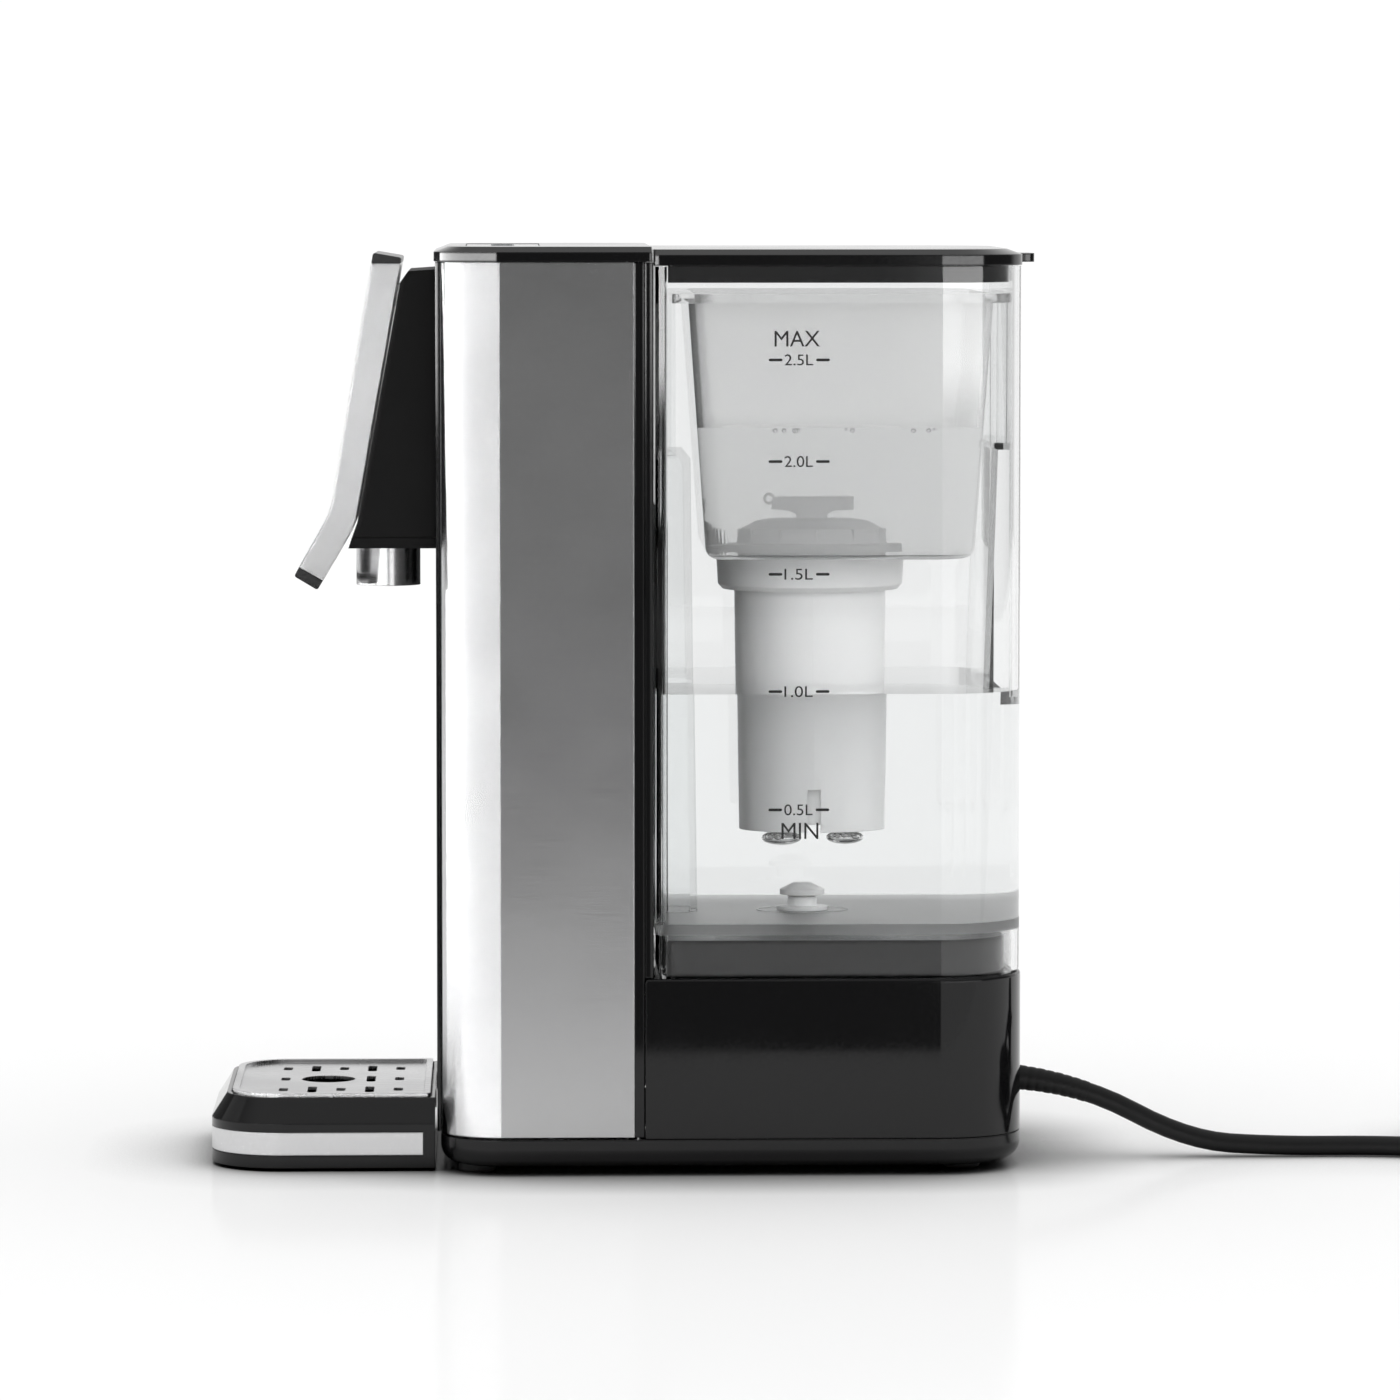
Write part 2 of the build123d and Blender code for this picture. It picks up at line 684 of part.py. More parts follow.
# ---- water path ----
def flow_heater():
    """Upright steel heater with a port at each end."""
    body = pillar(0, HEATER_Y, HEATER_LOW, HEATER_TOP, HEATER_RADIUS)
    body = fillet(body.edges().filter_by(GeomType.CIRCLE), 3.0)
    body -= pillar(0, HEATER_Y, HEATER_LOW + 2, HEATER_TOP - 2, HEATER_RADIUS - 3.2)
    for low, high in ((HEATER_LOW - 10, HEATER_LOW + 3), (HEATER_TOP - 3, HEATER_TOP + 10)):
        body += ring(0, HEATER_Y, low, high, 3.1, 2.0)
        body -= pillar(0, HEATER_Y, low - 1, high + 1, 2.0)
    return body


def thermostat():
    solid = Pos(0, HEATER_Y - HEATER_RADIUS - 2.6, 125) * Rot(90, 0, 0) * Cylinder(8, 5)
    return solid + block(-5, -3, -55, -49, 123, 127) + block(3, 5, -55, -49, 123, 127)


def pump_motor():
    solid = pillar(0, PUMP_Y, BASE_FLOOR_TOP + 0.1, 34.0, 17.0)
    return solid - pillar(0, PUMP_Y, 20.0, 35.0, 1.5 + RUNNING_GAP)


def pump_volute():
    """The pump's chamber with its inlet and outlet stubs."""
    solid = pillar(0, PUMP_Y, 34.0, 50.0, 20.0)
    solid += Pos(0, PUMP_Y - 21.4, PUMP_PORT_Z) * Rot(90, 0, 0) * Cylinder(3.1, 5)
    solid += Pos(-24, PUMP_Y, PUMP_PORT_Z) * Rot(0, 90, 0) * Cylinder(3.1, 12)
    solid -= pillar(0, PUMP_Y, 37.0, 47.0, 17.0)
    solid -= pillar(0, PUMP_Y, 33.0, 38.0, 1.5 + RUNNING_GAP)
    solid -= Pos(0, PUMP_Y - 24, PUMP_PORT_Z) * Rot(90, 0, 0) * Cylinder(2.0, 16)
    return solid - Pos(-24, PUMP_Y, PUMP_PORT_Z) * Rot(0, 90, 0) * Cylinder(2.0, 16)


def pump_impeller():
    """The disc and blades that spin in the volute, pressed on the motor shaft."""
    solid = pillar(0, PUMP_Y, 38.0, 40.0, 15.5)
    solid += pillar(0, PUMP_Y, 38.0, 46.0, 4.0)
    for step in range(6):
        blade = Pos(0, PUMP_Y, 42.5) * Rot(0, 0, 60 * step) * Pos(9, 0, 0) * Box(12, 1.6, 6)
        solid += blade
    return solid - pillar(0, PUMP_Y, 37.0, 44.0, 1.5)


def pump_shaft():
    return pillar(0, PUMP_Y, 22.0, 44.0, 1.5)


def hose_tank_to_pump():
    points = [(0, DOCK_Y, 56.8), (0, DOCK_Y, PUMP_PORT_Z), (0, PUMP_Y - 20.8, PUMP_PORT_Z)]
    return hose(points, 10.0, HOSE_RADIUS, HOSE_BORE)


def hose_pump_to_heater():
    side = -40.0
    points = [
        (-20.2, PUMP_Y, PUMP_PORT_Z),
        (side, PUMP_Y, PUMP_PORT_Z),
        (side, HEATER_Y, PUMP_PORT_Z),
        (0, HEATER_Y, PUMP_PORT_Z),
        (0, HEATER_Y, HEATER_LOW - 0.2),
    ]
    return hose(points, 9.0, HOSE_RADIUS, HOSE_BORE)


def hose_heater_to_nozzle():
    level = 224.0
    points = [
        (0, HEATER_Y, HEATER_TOP + 0.2),
        (0, HEATER_Y, level),
        (0, NOZZLE_Y, level),
        (0, NOZZLE_Y, NOZZLE_LOW + 12.2),
    ]
    return hose(points, 10.0, HOSE_RADIUS + 0.2, 4.2)


# ---- drip tray ----
def tray_outer():
    """Outside of the tray: an upright wall under a part that leans inwards."""
    solid = slab(plan(TRAY_HALF, FRONT, TRAY_REAR, TRAY_CORNER, 0), TRAY_LOW, TRAY_SHOULDER)
    long_plan = plan(TRAY_HALF, FRONT, TRAY_REAR + 30, TRAY_CORNER, 0)
    lean = math.degrees(math.atan2(TRAY_INSET, TRAY_TOP - TRAY_SHOULDER))
    upper = extrude(Pos(0, 0, TRAY_SHOULDER) * long_plan, TRAY_TOP - TRAY_SHOULDER, taper=lean)
    kept = block(-80, 80, FRONT - 5, TRAY_REAR, TRAY_SHOULDER - 1, TRAY_TOP + 1)
    return solid + (upper & kept)


def tray_body():
    solid = tray_outer()
    wall = TRAY_INSET + 3.6
    pocket = plan(TRAY_HALF - wall, FRONT + wall, TRAY_REAR - 3.0, TRAY_CORNER - 8.0, 4.0)
    solid -= slab(pocket, TRAY_LOW + TRAY_WALL, TRAY_TOP + 1)
    rim = TRAY_INSET + TRAY_RIM
    ledge = plan(TRAY_HALF - rim, FRONT + rim, TRAY_REAR - 1.2, TRAY_CORNER - 6.5, 2.0)
    solid -= slab(ledge, TRAY_TOP - 1.4, TRAY_TOP + 1)
    solid -= band_solid(1.0, 0.0)
    for x in (-24, 24):
        solid += block(x - 4, x + 4, TRAY_REAR - 1, TRAY_REAR + 0.3, TRAY_TOP - 6, TRAY_TOP)
    for x, y in TRAY_FOOT_SPOTS:
        solid -= pillar(x, y, 0, TRAY_LOW + 0.6, TRAY_FOOT_RADIUS + 0.2)
    return solid


def band_solid(depth, gap):
    """The strip of the tray's wall that the chrome band fills."""
    rear = TRAY_REAR - 4.0
    outer = slab(plan(TRAY_HALF, FRONT, rear, TRAY_CORNER, 0), BAND_LOW + gap, BAND_TOP - gap)
    core = plan(TRAY_HALF - depth, FRONT + depth, rear + 1, TRAY_CORNER - depth, 0)
    return outer - slab(core, BAND_LOW - 1, BAND_TOP + 1)


def tray_band():
    return band_solid(0.9, 0.1)


def tray_feet():
    feet = [pillar(x, y, 0, TRAY_LOW + 0.6, TRAY_FOOT_RADIUS) for x, y in TRAY_FOOT_SPOTS]
    return Compound(children=feet)


def tray_slots():
    """Drain slots in three rows, with a round drain between the second and third columns."""
    cuts = []
    for index, y in enumerate(SLOT_COLUMNS):
        edge_length = SLOT_LONG if index % 2 else SLOT_SHORT
        for side in (-1, 1):
            cuts.append((side * SLOT_ROW_X, y, edge_length))
    for index in (0, 3, 4):
        middle_length = SLOT_LONG if index == 3 else SLOT_SHORT
        cuts.append((0, SLOT_COLUMNS[index], middle_length))
    return cuts


def tray_grille():
    """The brushed plate with a raised rim that lies in the top of the tray."""
    gap = 0.4
    inset = TRAY_INSET + TRAY_RIM + gap
    rear = TRAY_REAR - 1.2 - gap
    outer = plan(TRAY_HALF - inset, FRONT + inset, rear, TRAY_CORNER - 6.9, 1.6)
    solid = slab(outer, TRAY_TOP - 1.1, TRAY_TOP + 1.2)
    inset += 2.2
    dish = plan(TRAY_HALF - inset, FRONT + inset, rear - 2.2, TRAY_CORNER - 9.0, 1.0)
    solid -= slab(dish, TRAY_TOP + 0.1, TRAY_TOP + 2)
    low = TRAY_TOP - 2
    high = TRAY_TOP + 2
    for x, y, length in tray_slots():
        slot = Pos(x, y, TRAY_TOP) * Box(length, SLOT_WIDTH, high - low)
        solid -= fillet(slot.edges().filter_by(Axis.Z), 0.45 * SLOT_WIDTH)
    drain_y = (SLOT_COLUMNS[1] + SLOT_COLUMNS[2]) / 2
    return solid - pillar(0, drain_y, low, high, DRAIN_RADIUS)


# ---- tank ----
def groove_outline(grow):
    """Side outline of the tank's front groove, which widens downwards."""
    return [
        (TANK_FRONT - 2, 60),
        (22.6 + grow, 60),
        (20.4 + grow, GROOVE_TOP - 3 + grow),
        (18.0 + grow, GROOVE_TOP + grow),
        (TANK_FRONT - 2, GROOVE_TOP + grow),
    ]


def grip_outline(grow):
    """Side outline of the finger recess in the tank's rear wall."""
    return [
        (TANK_REAR + 2, GRIP_LOW - grow),
        (121.5 - grow, GRIP_LOW - grow),
        (124.5 - grow, GRIP_TOP + grow),
        (TANK_REAR + 2, GRIP_TOP + grow),
    ]


def tank_shell():
    """The clear tank: wall, raised floor, open skirt, guide groove and finger recess."""
    outer = slab(plan(TANK_HALF, TANK_FRONT, TANK_REAR, 3.0, TANK_CORNER), TANK_LOW, TANK_TOP)
    wall = plan(
        TANK_HALF - TANK_WALL,
        TANK_FRONT + TANK_WALL,
        TANK_REAR - TANK_WALL,
        1.5,
        TANK_CORNER - TANK_WALL,
    )
    solid = outer - slab(wall, FLOOR_TOP, TANK_TOP + 1) - slab(wall, TANK_LOW - 1, FLOOR_LOW)
    for x in (-40, 0, 40):
        rib_front = 90.0 if x == 0 else 30.0
        solid += block(x - 1, x + 1, rib_front, 115, TANK_RIB_LOW, FLOOR_LOW + 0.5)
    for x in (-30, 30):
        solid += block(x - 1.2, x + 1.2, TANK_REAR - 6.5, TANK_REAR - 1, GRIP_TOP, FLANGE_LOW - 0.4)
        solid += block(x - 1.2, x + 1.2, TANK_FRONT + 1, 17.2, GROOVE_TOP, FLANGE_LOW - 0.4)
    liner = side_solid(groove_outline(GROOVE_LINER), GROOVE_HALF + GROOVE_LINER)
    solid += liner & slab(wall, FLOOR_LOW, TANK_TOP)
    solid -= side_solid(groove_outline(0), GROOVE_HALF)
    grip = side_solid(grip_outline(GROOVE_LINER), GRIP_HALF + GROOVE_LINER)
    solid += grip & slab(wall, FLOOR_TOP, TANK_TOP)
    solid -= side_solid(grip_outline(0), GRIP_HALF)
    radius = 4.5
    y = TANK_FRONT + radius
    z = TANK_LOW + radius
    corner = block(-HALF_WIDTH, HALF_WIDTH, TANK_FRONT - 1, y, TANK_LOW - 1, z)
    solid -= corner - cross_bar(HALF_WIDTH + 2, y, z, radius)
    return solid - pillar(0, DOCK_Y, TANK_LOW, FLOOR_TOP + 1, 6.2)


def valve_bush():
    """The fixed guide of the outlet valve, through the tank's floor."""
    return turned(
        [
            (VALVE_STEM_RADIUS + 0.05, BUSH_GUIDE_LOW),
            (VALVE_STEM_RADIUS + 0.05, BUSH_GUIDE_TOP),
            (4.8, BUSH_GUIDE_TOP),
            (4.8, BUSH_FLANGE_TOP),
            (8.6, BUSH_FLANGE_TOP),
            (8.6, FLOOR_TOP + 0.05),
            (6.1, FLOOR_TOP + 0.05),
            (6.1, FLOOR_LOW - 0.1),
            (8.0, FLOOR_LOW - 0.1),
            (8.0, BUSH_LOW),
            (6.6, BUSH_LOW),
            (6.6, BUSH_GUIDE_LOW),
        ],
        DOCK_Y,
    )


def valve_poppet():
    """The mushroom that closes the tank: stem, head and a small clip at the foot."""
    return turned(
        [
            (0, VALVE_STEM_LOW),
            (VALVE_CLIP_RADIUS, VALVE_STEM_LOW),
            (VALVE_CLIP_RADIUS, VALVE_CLIP_TOP),
            (VALVE_STEM_RADIUS, VALVE_CLIP_TOP),
            (VALVE_STEM_RADIUS, VALVE_HEAD_LOW),
            (VALVE_HEAD_RADIUS, VALVE_HEAD_LOW),
            (VALVE_HEAD_RADIUS, VALVE_HEAD_LOW + 1.7),
            (VALVE_HEAD_RADIUS - 2.1, VALVE_HEAD_TOP - 1.2),
            (3.0, VALVE_HEAD_TOP),
            (0, VALVE_HEAD_TOP),
        ],
        DOCK_Y,
    )


def valve_seal():
    return ring(0, DOCK_Y, VALVE_HEAD_LOW - 0.5, VALVE_HEAD_LOW, 4.7, VALVE_STEM_RADIUS)


def valve_spring():
    """The closing spring under the bush, as its outer shape."""
    low = VALVE_CLIP_TOP + 0.1
    return ring(0, DOCK_Y, low, BUSH_GUIDE_LOW - 0.1, 3.3, VALVE_STEM_RADIUS + 0.3)


# ---- lid ----
def tank_lid():
    """Gloss lid: flat top sloping down at sides and rear, inner skirt, rear finger tab."""
    rear = BASE_REAR - 0.1
    rim = plan(HALF_WIDTH, LID_FRONT, rear, 1.5, REAR_CORNER)
    narrow = HALF_WIDTH - LID_SLOPE
    crown = plan(narrow, LID_FRONT, rear - LID_SLOPE, 1.5, REAR_CORNER - LID_SLOPE)
    solid = slab(rim, LID_LOW, LID_BAND_TOP)
    solid += loft([Pos(0, 0, LID_BAND_TOP) * rim, Pos(0, 0, LID_TOP) * crown])
    skirt = plan(LID_SKIRT_HALF, LID_SKIRT_FRONT, LID_SKIRT_REAR, 1.5, 23.5)
    solid += slab(skirt, LID_SKIRT_LOW, LID_LOW + 0.5)
    half = LID_SKIRT_HALF - LID_WALL
    room = plan(half, LID_SKIRT_FRONT + LID_WALL, LID_SKIRT_REAR - LID_WALL, 1.0, 21.7)
    solid -= slab(room, LID_SKIRT_LOW - 1, LID_BAND_TOP - 0.8)
    for side in (-1, 1):
        for y in (26.0, 94.0):
            x = side * (LID_SKIRT_HALF + 0.5)
            solid += block(x - 0.6, x + 0.6, y - 0.5, y + 0.5, LID_SKIRT_LOW, LID_LOW + 0.2)
    tab = block(-LID_TAB_HALF, LID_TAB_HALF, BASE_REAR - 3, REAR, 299.9, LID_BAND_TOP)
    tab = fillet(tab.edges().filter_by(Axis.Z).group_by(Axis.Y)[-1], 3.0)
    return solid + tab


# ---- filter ----
def funnel_layer(grow, low, high):
    """The funnel's tapered cup, from its floor to under its flange."""
    foot = Pos(0, 0, low) * plan(53.0 + grow, 27.0 - grow, 116.0 + grow, 9.0 + grow, 15.0 + grow)
    mouth = Pos(0, 0, high) * plan(59.3 + grow, 20.9 - grow, 122.0 + grow, 9.0 + grow, 19.0 + grow)
    return loft([foot, mouth])


def filter_funnel():
    solid = funnel_layer(0, FUNNEL_LOW, FLANGE_LOW + 0.5)
    solid = fillet(solid.faces().sort_by(Axis.Z)[0].edges(), 4.0)
    solid += slab(plan(64.3, 15.4, 128.0, 3.0, 24.2), FLANGE_LOW, FLANGE_TOP)
    solid -= funnel_layer(-FUNNEL_WALL, FUNNEL_LOW + FUNNEL_WALL, FLANGE_TOP + 2)
    return solid - pillar(0, FILTER_Y, FUNNEL_LOW - 1, FUNNEL_LOW + 4, NECK_RADIUS + 0.1)


def filter_socket():
    """The collar and long sleeve under the funnel, slotted at the foot."""
    solid = turned(
        [
            (SLEEVE_BORE, SLEEVE_LOW),
            (24.4, SLEEVE_LOW),
            (25.5, COLLAR_LOW),
            (29.6, COLLAR_LOW),
            (31.0, COLLAR_LOW + 1.6),
            (31.6, FUNNEL_LOW - 0.7),
            (NECK_RADIUS, FUNNEL_LOW - 0.7),
            (NECK_RADIUS, FUNNEL_LOW + FUNNEL_WALL),
            (25.4, FUNNEL_LOW + FUNNEL_WALL),
            (25.4, FUNNEL_LOW - 2.0),
            (SLEEVE_BORE, FUNNEL_LOW - 4.0),
        ],
        FILTER_Y,
    )
    solid -= block(-40, 40, FILTER_Y - 2.15, FILTER_Y + 2.15, SLEEVE_LOW - 1, SLEEVE_LOW + 14.2)
    return solid - block(-2.15, 2.15, FILTER_Y - 40, FILTER_Y + 40, SLEEVE_LOW - 1, SLEEVE_LOW + 14.2)


def socket_gasket():
    return ring(0, FILTER_Y, FUNNEL_LOW - 0.6, FUNNEL_LOW - 0.1, 31.2, NECK_RADIUS + 0.2)


def cartridge_body():
    """The canister that drops into the sleeve."""
    profile = [
        (0, CARTRIDGE_LOW),
        (CARTRIDGE_FOOT_RADIUS, CARTRIDGE_LOW),
        (CARTRIDGE_RADIUS, CARTRIDGE_NECK),
        (CARTRIDGE_RADIUS, CARTRIDGE_TOP),
        (CARTRIDGE_RADIUS - CARTRIDGE_WALL, CARTRIDGE_TOP),
        (CARTRIDGE_RADIUS - CARTRIDGE_WALL, CARTRIDGE_NECK),
        (CARTRIDGE_FOOT_RADIUS - CARTRIDGE_WALL, CARTRIDGE_LOW + 1.6),
        (0, CARTRIDGE_LOW + 1.6),
    ]
    solid = turned(profile, FILTER_Y)
    for step in range(CARTRIDGE_HOLES):
        angle = math.tau * step / CARTRIDGE_HOLES
        x = CARTRIDGE_HOLE_RING * math.cos(angle)
        y = FILTER_Y + CARTRIDGE_HOLE_RING * math.sin(angle)
        solid -= pillar(x, y, CARTRIDGE_LOW - 1, CARTRIDGE_LOW + 3, 2.0)
    return solid


def filter_media():
    """The filter grains, as the room they fill."""
    low = CARTRIDGE_LOW + 2.0
    return turned([(0, low), (20.8, low), (21.5, MEDIA_TOP), (0, MEDIA_TOP)], FILTER_Y)


def cartridge_cap():
    """The cap on the canister: flange, ribbed dome and a T-shaped grip with a small eye."""
    solid = turned(
        [
            (0, CARTRIDGE_TOP + 0.1),
            (DOME_FLANGE_RADIUS, CARTRIDGE_TOP + 0.1),
            (DOME_FLANGE_RADIUS, DOME_FLANGE_TOP),
            (DOME_RADIUS + 0.8, DOME_FLANGE_TOP + 0.2),
            (DOME_RADIUS, DOME_TOP - 4.9),
            (DOME_RADIUS - 0.8, DOME_TOP - 3.3),
            (DOME_RADIUS - 5.8, DOME_TOP - 0.7),
            (HANDLE_REACH, DOME_TOP),
            (0, DOME_TOP),
        ],
        FILTER_Y,
    )
    for step in range(DOME_RIBS):
        turn = Pos(0, FILTER_Y, DOME_TOP - 5.7) * Rot(0, 0, 360 * step / DOME_RIBS + 3)
        solid += turn * Pos(DOME_RADIUS - 0.2, 0, 0) * Box(1.6, 0.9, 4.6)
    grip = [
        (-HANDLE_FOOT, DOME_TOP - 0.3),
        (HANDLE_FOOT, DOME_TOP - 0.3),
        (HANDLE_FOOT, HANDLE_WAIST - 1.2),
        (HANDLE_FOOT + 2.2, HANDLE_WAIST),
        (HANDLE_REACH, HANDLE_WAIST + 0.4),
        (HANDLE_REACH, HANDLE_TOP),
        (-HANDLE_REACH + 1.0, HANDLE_TOP),
        (-HANDLE_REACH + 0.4, HANDLE_WAIST + 0.6),
        (-HANDLE_FOOT - 2.6, HANDLE_WAIST),
        (-HANDLE_FOOT, HANDLE_WAIST - 1.2),
    ]
    solid += Pos(0, FILTER_Y, 0) * side_solid(grip, HANDLE_HALF)
    loop = Cylinder(2.0, 1.6) - Cylinder(1.1, 3)
    return solid + Pos(0, FILTER_Y - HANDLE_REACH - 0.3, HANDLE_TOP - 0.7) * Rot(0, 90, 0) * loop


def cartridge_seal():
    return ring(0, FILTER_Y, 204.5, 205.0, 29.6, 26.0)


# ---- mains lead ----
def cord_gland():
    """The bush in the rear wall that holds the lead, flush outside, long inside."""
    x, y, z = CORD_ROUTE[0]
    frame = Pos(x, 0, z) * Rot(90, 0, 0)
    flange = frame * Pos(0, 0, -(BASE_REAR - 3.6)) * Cylinder(7.6, 1.8)
    neck = frame * Pos(0, 0, -(BASE_REAR - 1.6)) * Cylinder(6.0, 3.2)
    tail = frame * Pos(0, 0, -(BASE_REAR - 12.0)) * Cylinder(4.8, 18.0)
    return flange + neck + tail


def cord_tube():
    return lead(CORD_ROUTE)


def cord_coil():
    """The put-away turns as one ring."""
    high = 4 * CORD_RADIUS
    return ring(COIL_X, COIL_Y, 0, high, COIL_RADIUS + COIL_HALF, COIL_RADIUS - COIL_HALF)


def cord_tie():
    """The strap round the turns."""
    high = 4 * CORD_RADIUS + 1.0
    place = Pos(COIL_X, COIL_Y, high / 2) * Rot(0, 0, 200) * Pos(COIL_RADIUS, 0, 0)
    strap = Box(2 * COIL_HALF + 2.0, 5.0, high) - Box(2 * COIL_HALF - 1.0, 9.0, high - 2.4)
    return place * strap


def cord_plug_lead():
    return lead(LEAD_ROUTE)


def plug_body():
    """A round two-pin earthed plug lying on its side."""
    frame = Pos(PLUG_X, PLUG_Y, PLUG_RADIUS) * Rot(0, -90, 0)
    profile = [
        (0, 0),
        (4.4, 0),
        (5.4, 12),
        (11.0, 15),
        (16.0, 18),
        (PLUG_RADIUS, 24),
        (PLUG_RADIUS, PLUG_LENGTH),
        (0, PLUG_LENGTH),
    ]
    face = Plane.XZ * Polygon(*profile, align=None)
    return frame * revolve(face, Axis.Z)


def plug_pins():
    frame = Pos(PLUG_X - PLUG_LENGTH - 0.1, PLUG_Y, PLUG_RADIUS) * Rot(0, -90, 0)
    pins = []
    for side in (-1, 1):
        pin = Cylinder(PLUG_PIN_RADIUS, PLUG_PIN_LENGTH)
        pins.append(frame * Pos(0, side * 9.5, PLUG_PIN_LENGTH / 2) * pin)
    return Compound(children=pins)


PARTS = [
    base_plate,
    rubber_feet,
    base_screws,
    base_housing,
    tank_pedestal,
    docking_socket,
    docking_seal,
    steel_wrap,
    front_panel,
    column_rear_cover,
    inner_chassis,
    top_cap,
    control_panel,
    control_board,
    power_board,
    spout_housing,
    spout_bottom_cover,
    nozzle_shroud,
    nozzle_outlet,
    lever_frame,
    lever_face,
    lever_top_cap,
    lever_end_cap,
    lever_pivot_pin,
    lever_spring,
    lever_microswitch,
    flow_heater,
    thermostat,
    pump_motor,
    pump_volute,
    pump_impeller,
    pump_shaft,
    hose_tank_to_pump,
    hose_pump_to_heater,
    hose_heater_to_nozzle,
    tray_body,
    tray_band,
    tray_feet,
    tray_grille,
    tank_shell,
    valve_bush,
    valve_poppet,
    valve_seal,
    valve_spring,
    tank_lid,
    filter_funnel,
    filter_socket,
    socket_gasket,
    cartridge_body,
    filter_media,
    cartridge_cap,
    cartridge_seal,
    cord_gland,
    cord_tube,
    cord_coil,
    cord_tie,
    cord_plug_lead,
    plug_body,
    plug_pins,
]


def main():
    os.makedirs("parts", exist_ok=True)
    for make in PARTS:
        solid = make()
        export_step(solid, os.path.join("parts", make.__name__ + ".step"))


main()
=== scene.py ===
import json
import math
import random

import bmesh
import bpy
from mathutils import Matrix, Vector


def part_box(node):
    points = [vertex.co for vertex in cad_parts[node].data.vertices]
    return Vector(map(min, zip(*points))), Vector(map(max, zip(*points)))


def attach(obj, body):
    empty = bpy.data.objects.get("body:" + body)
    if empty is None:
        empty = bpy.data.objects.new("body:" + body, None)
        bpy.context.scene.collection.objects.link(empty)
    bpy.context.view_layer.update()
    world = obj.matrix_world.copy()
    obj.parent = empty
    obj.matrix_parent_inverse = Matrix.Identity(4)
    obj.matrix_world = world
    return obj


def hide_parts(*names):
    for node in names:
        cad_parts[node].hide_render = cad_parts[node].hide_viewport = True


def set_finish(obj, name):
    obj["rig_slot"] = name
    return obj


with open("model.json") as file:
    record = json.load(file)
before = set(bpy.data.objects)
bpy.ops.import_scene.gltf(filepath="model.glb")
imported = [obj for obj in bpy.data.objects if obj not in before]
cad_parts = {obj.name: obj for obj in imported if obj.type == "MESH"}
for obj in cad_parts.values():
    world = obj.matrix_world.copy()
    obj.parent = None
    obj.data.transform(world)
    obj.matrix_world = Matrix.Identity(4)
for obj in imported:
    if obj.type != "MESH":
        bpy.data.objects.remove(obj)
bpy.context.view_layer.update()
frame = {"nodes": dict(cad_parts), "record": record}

# Looks of a countertop hot-water dispenser, in the CAD frame: X across, -Y front, +Y
# rear, Z up. Sizes and places are in millimetres, turned into metres where they are
# used. The floor's edges are in metres, as its comments say.
MM = 0.001

# ---- camera ----
CAMERA_SPOT = (2377.0, -39.35, 329.4)
CAMERA_YAW = 1.58
CAMERA_PITCH = 4.26
CAMERA_LENS = 181.85

# ---- mains lead ----
CORD_DIAMETER = 6.6
CORD_ROUTE = [
    (25.0, 131.9, 27.2),
    (25.0, 153.5, 24.8),
    (25.4, 189.0, 5.6),
    (24.6, 219.0, 3.5),
    (23.6, 254.0, 3.5),
    (32.0, 277.0, 3.5),
    (40.6, 295.0, 3.5),
]
LEAD_ROUTE = [
    (-2.0, 357.5, 9.9),
    (-15.0, 357.5, 11.2),
    (-29.0, 357.3, 16.6),
    (-41.0, 357.0, 18.2),
]
COIL_CENTRE = (1.2, 314.5)
COIL_INNER = 28.1
COIL_LAYERS = (3.5, 10.0)
COIL_LOWER_TURNS = 2.2
COIL_TURNS = 4.335
COIL_STEPS = 18
RELIEF_LENGTH = 24.0
RELIEF_RADIUS = 4.2
RELIEF_TAPER = 0.75
PIN_SIDE = 9.5
TIE_HALF_LONG = 11.9
TIE_CORNER = 3.2

# ---- water ----
# What bounds it: the tank's walls, its floor and the hollows that the column and the
# grip make in them, and the funnel, which widens from its floor to its rim.
TANK_WALL = 2.5
TANK_FLOOR = 83.0
TANK_CORNERS = (1.5, 25.2)
GROOVE_HALF = 10.6
GROOVE_OUTLINE = [(5, 60), (24.7, 60), (22.5, 234), (5, 234)]
GRIP_HALF = 37.1
GRIP_OUTLINE = [(140, 153.9), (119.4, 153.9), (122.4, 240), (140, 240)]
FUNNEL_FLOOR = 204.1
FUNNEL_HEIGHT = 87.9
FUNNEL_SIDES = (51.2, 28.8, 114.2)
FUNNEL_FLARE = (6.3, -6.1, 6.0)
FUNNEL_CORNERS = (7.2, 13.2)
FUNNEL_CORNER_FLARE = 4.0
TANK_WATER = 159.0
FUNNEL_WATER = 246.0
OVERLAP = 0.2

# ---- bubbles ----
BUBBLE_SEED = 7
SLEEVE_UNDERSIDE = 110.3
CAUGHT_SPANS = [(46.0, 59.6), (67.6, 80.4)]
CAUGHT_SIDE = 9.0
CAUGHT_FLATNESS = 0.36
BEAD_SIDE = 18.0
BEAD_FLATNESS = 0.8
BEAD_RADII = (1.1, 1.9)
BEADS_EACH = 4
FLOATING_COUNT = 11
FLOATING_SIDES = (30.0, 50.0)
FLOATING_ROWS = (36.0, 104.0)
FLOATING_RADII = (0.5, 1.1)
FLOATING_FLATNESS = 0.85

# ---- the tank's grained floor ----
FROST_LOW = 79.4
FROST_HIGH = 83.6
FROST_FADE = 0.5
FROST_ROUGHNESS = 0.35
VALVE_RING_Y = 60.0
VALVE_RING_RADIUS = 15.0
VALVE_RING_LINE = 0.8
VALVE_RING_THICK = 0.35
VALVE_RING_SUNK = 0.05

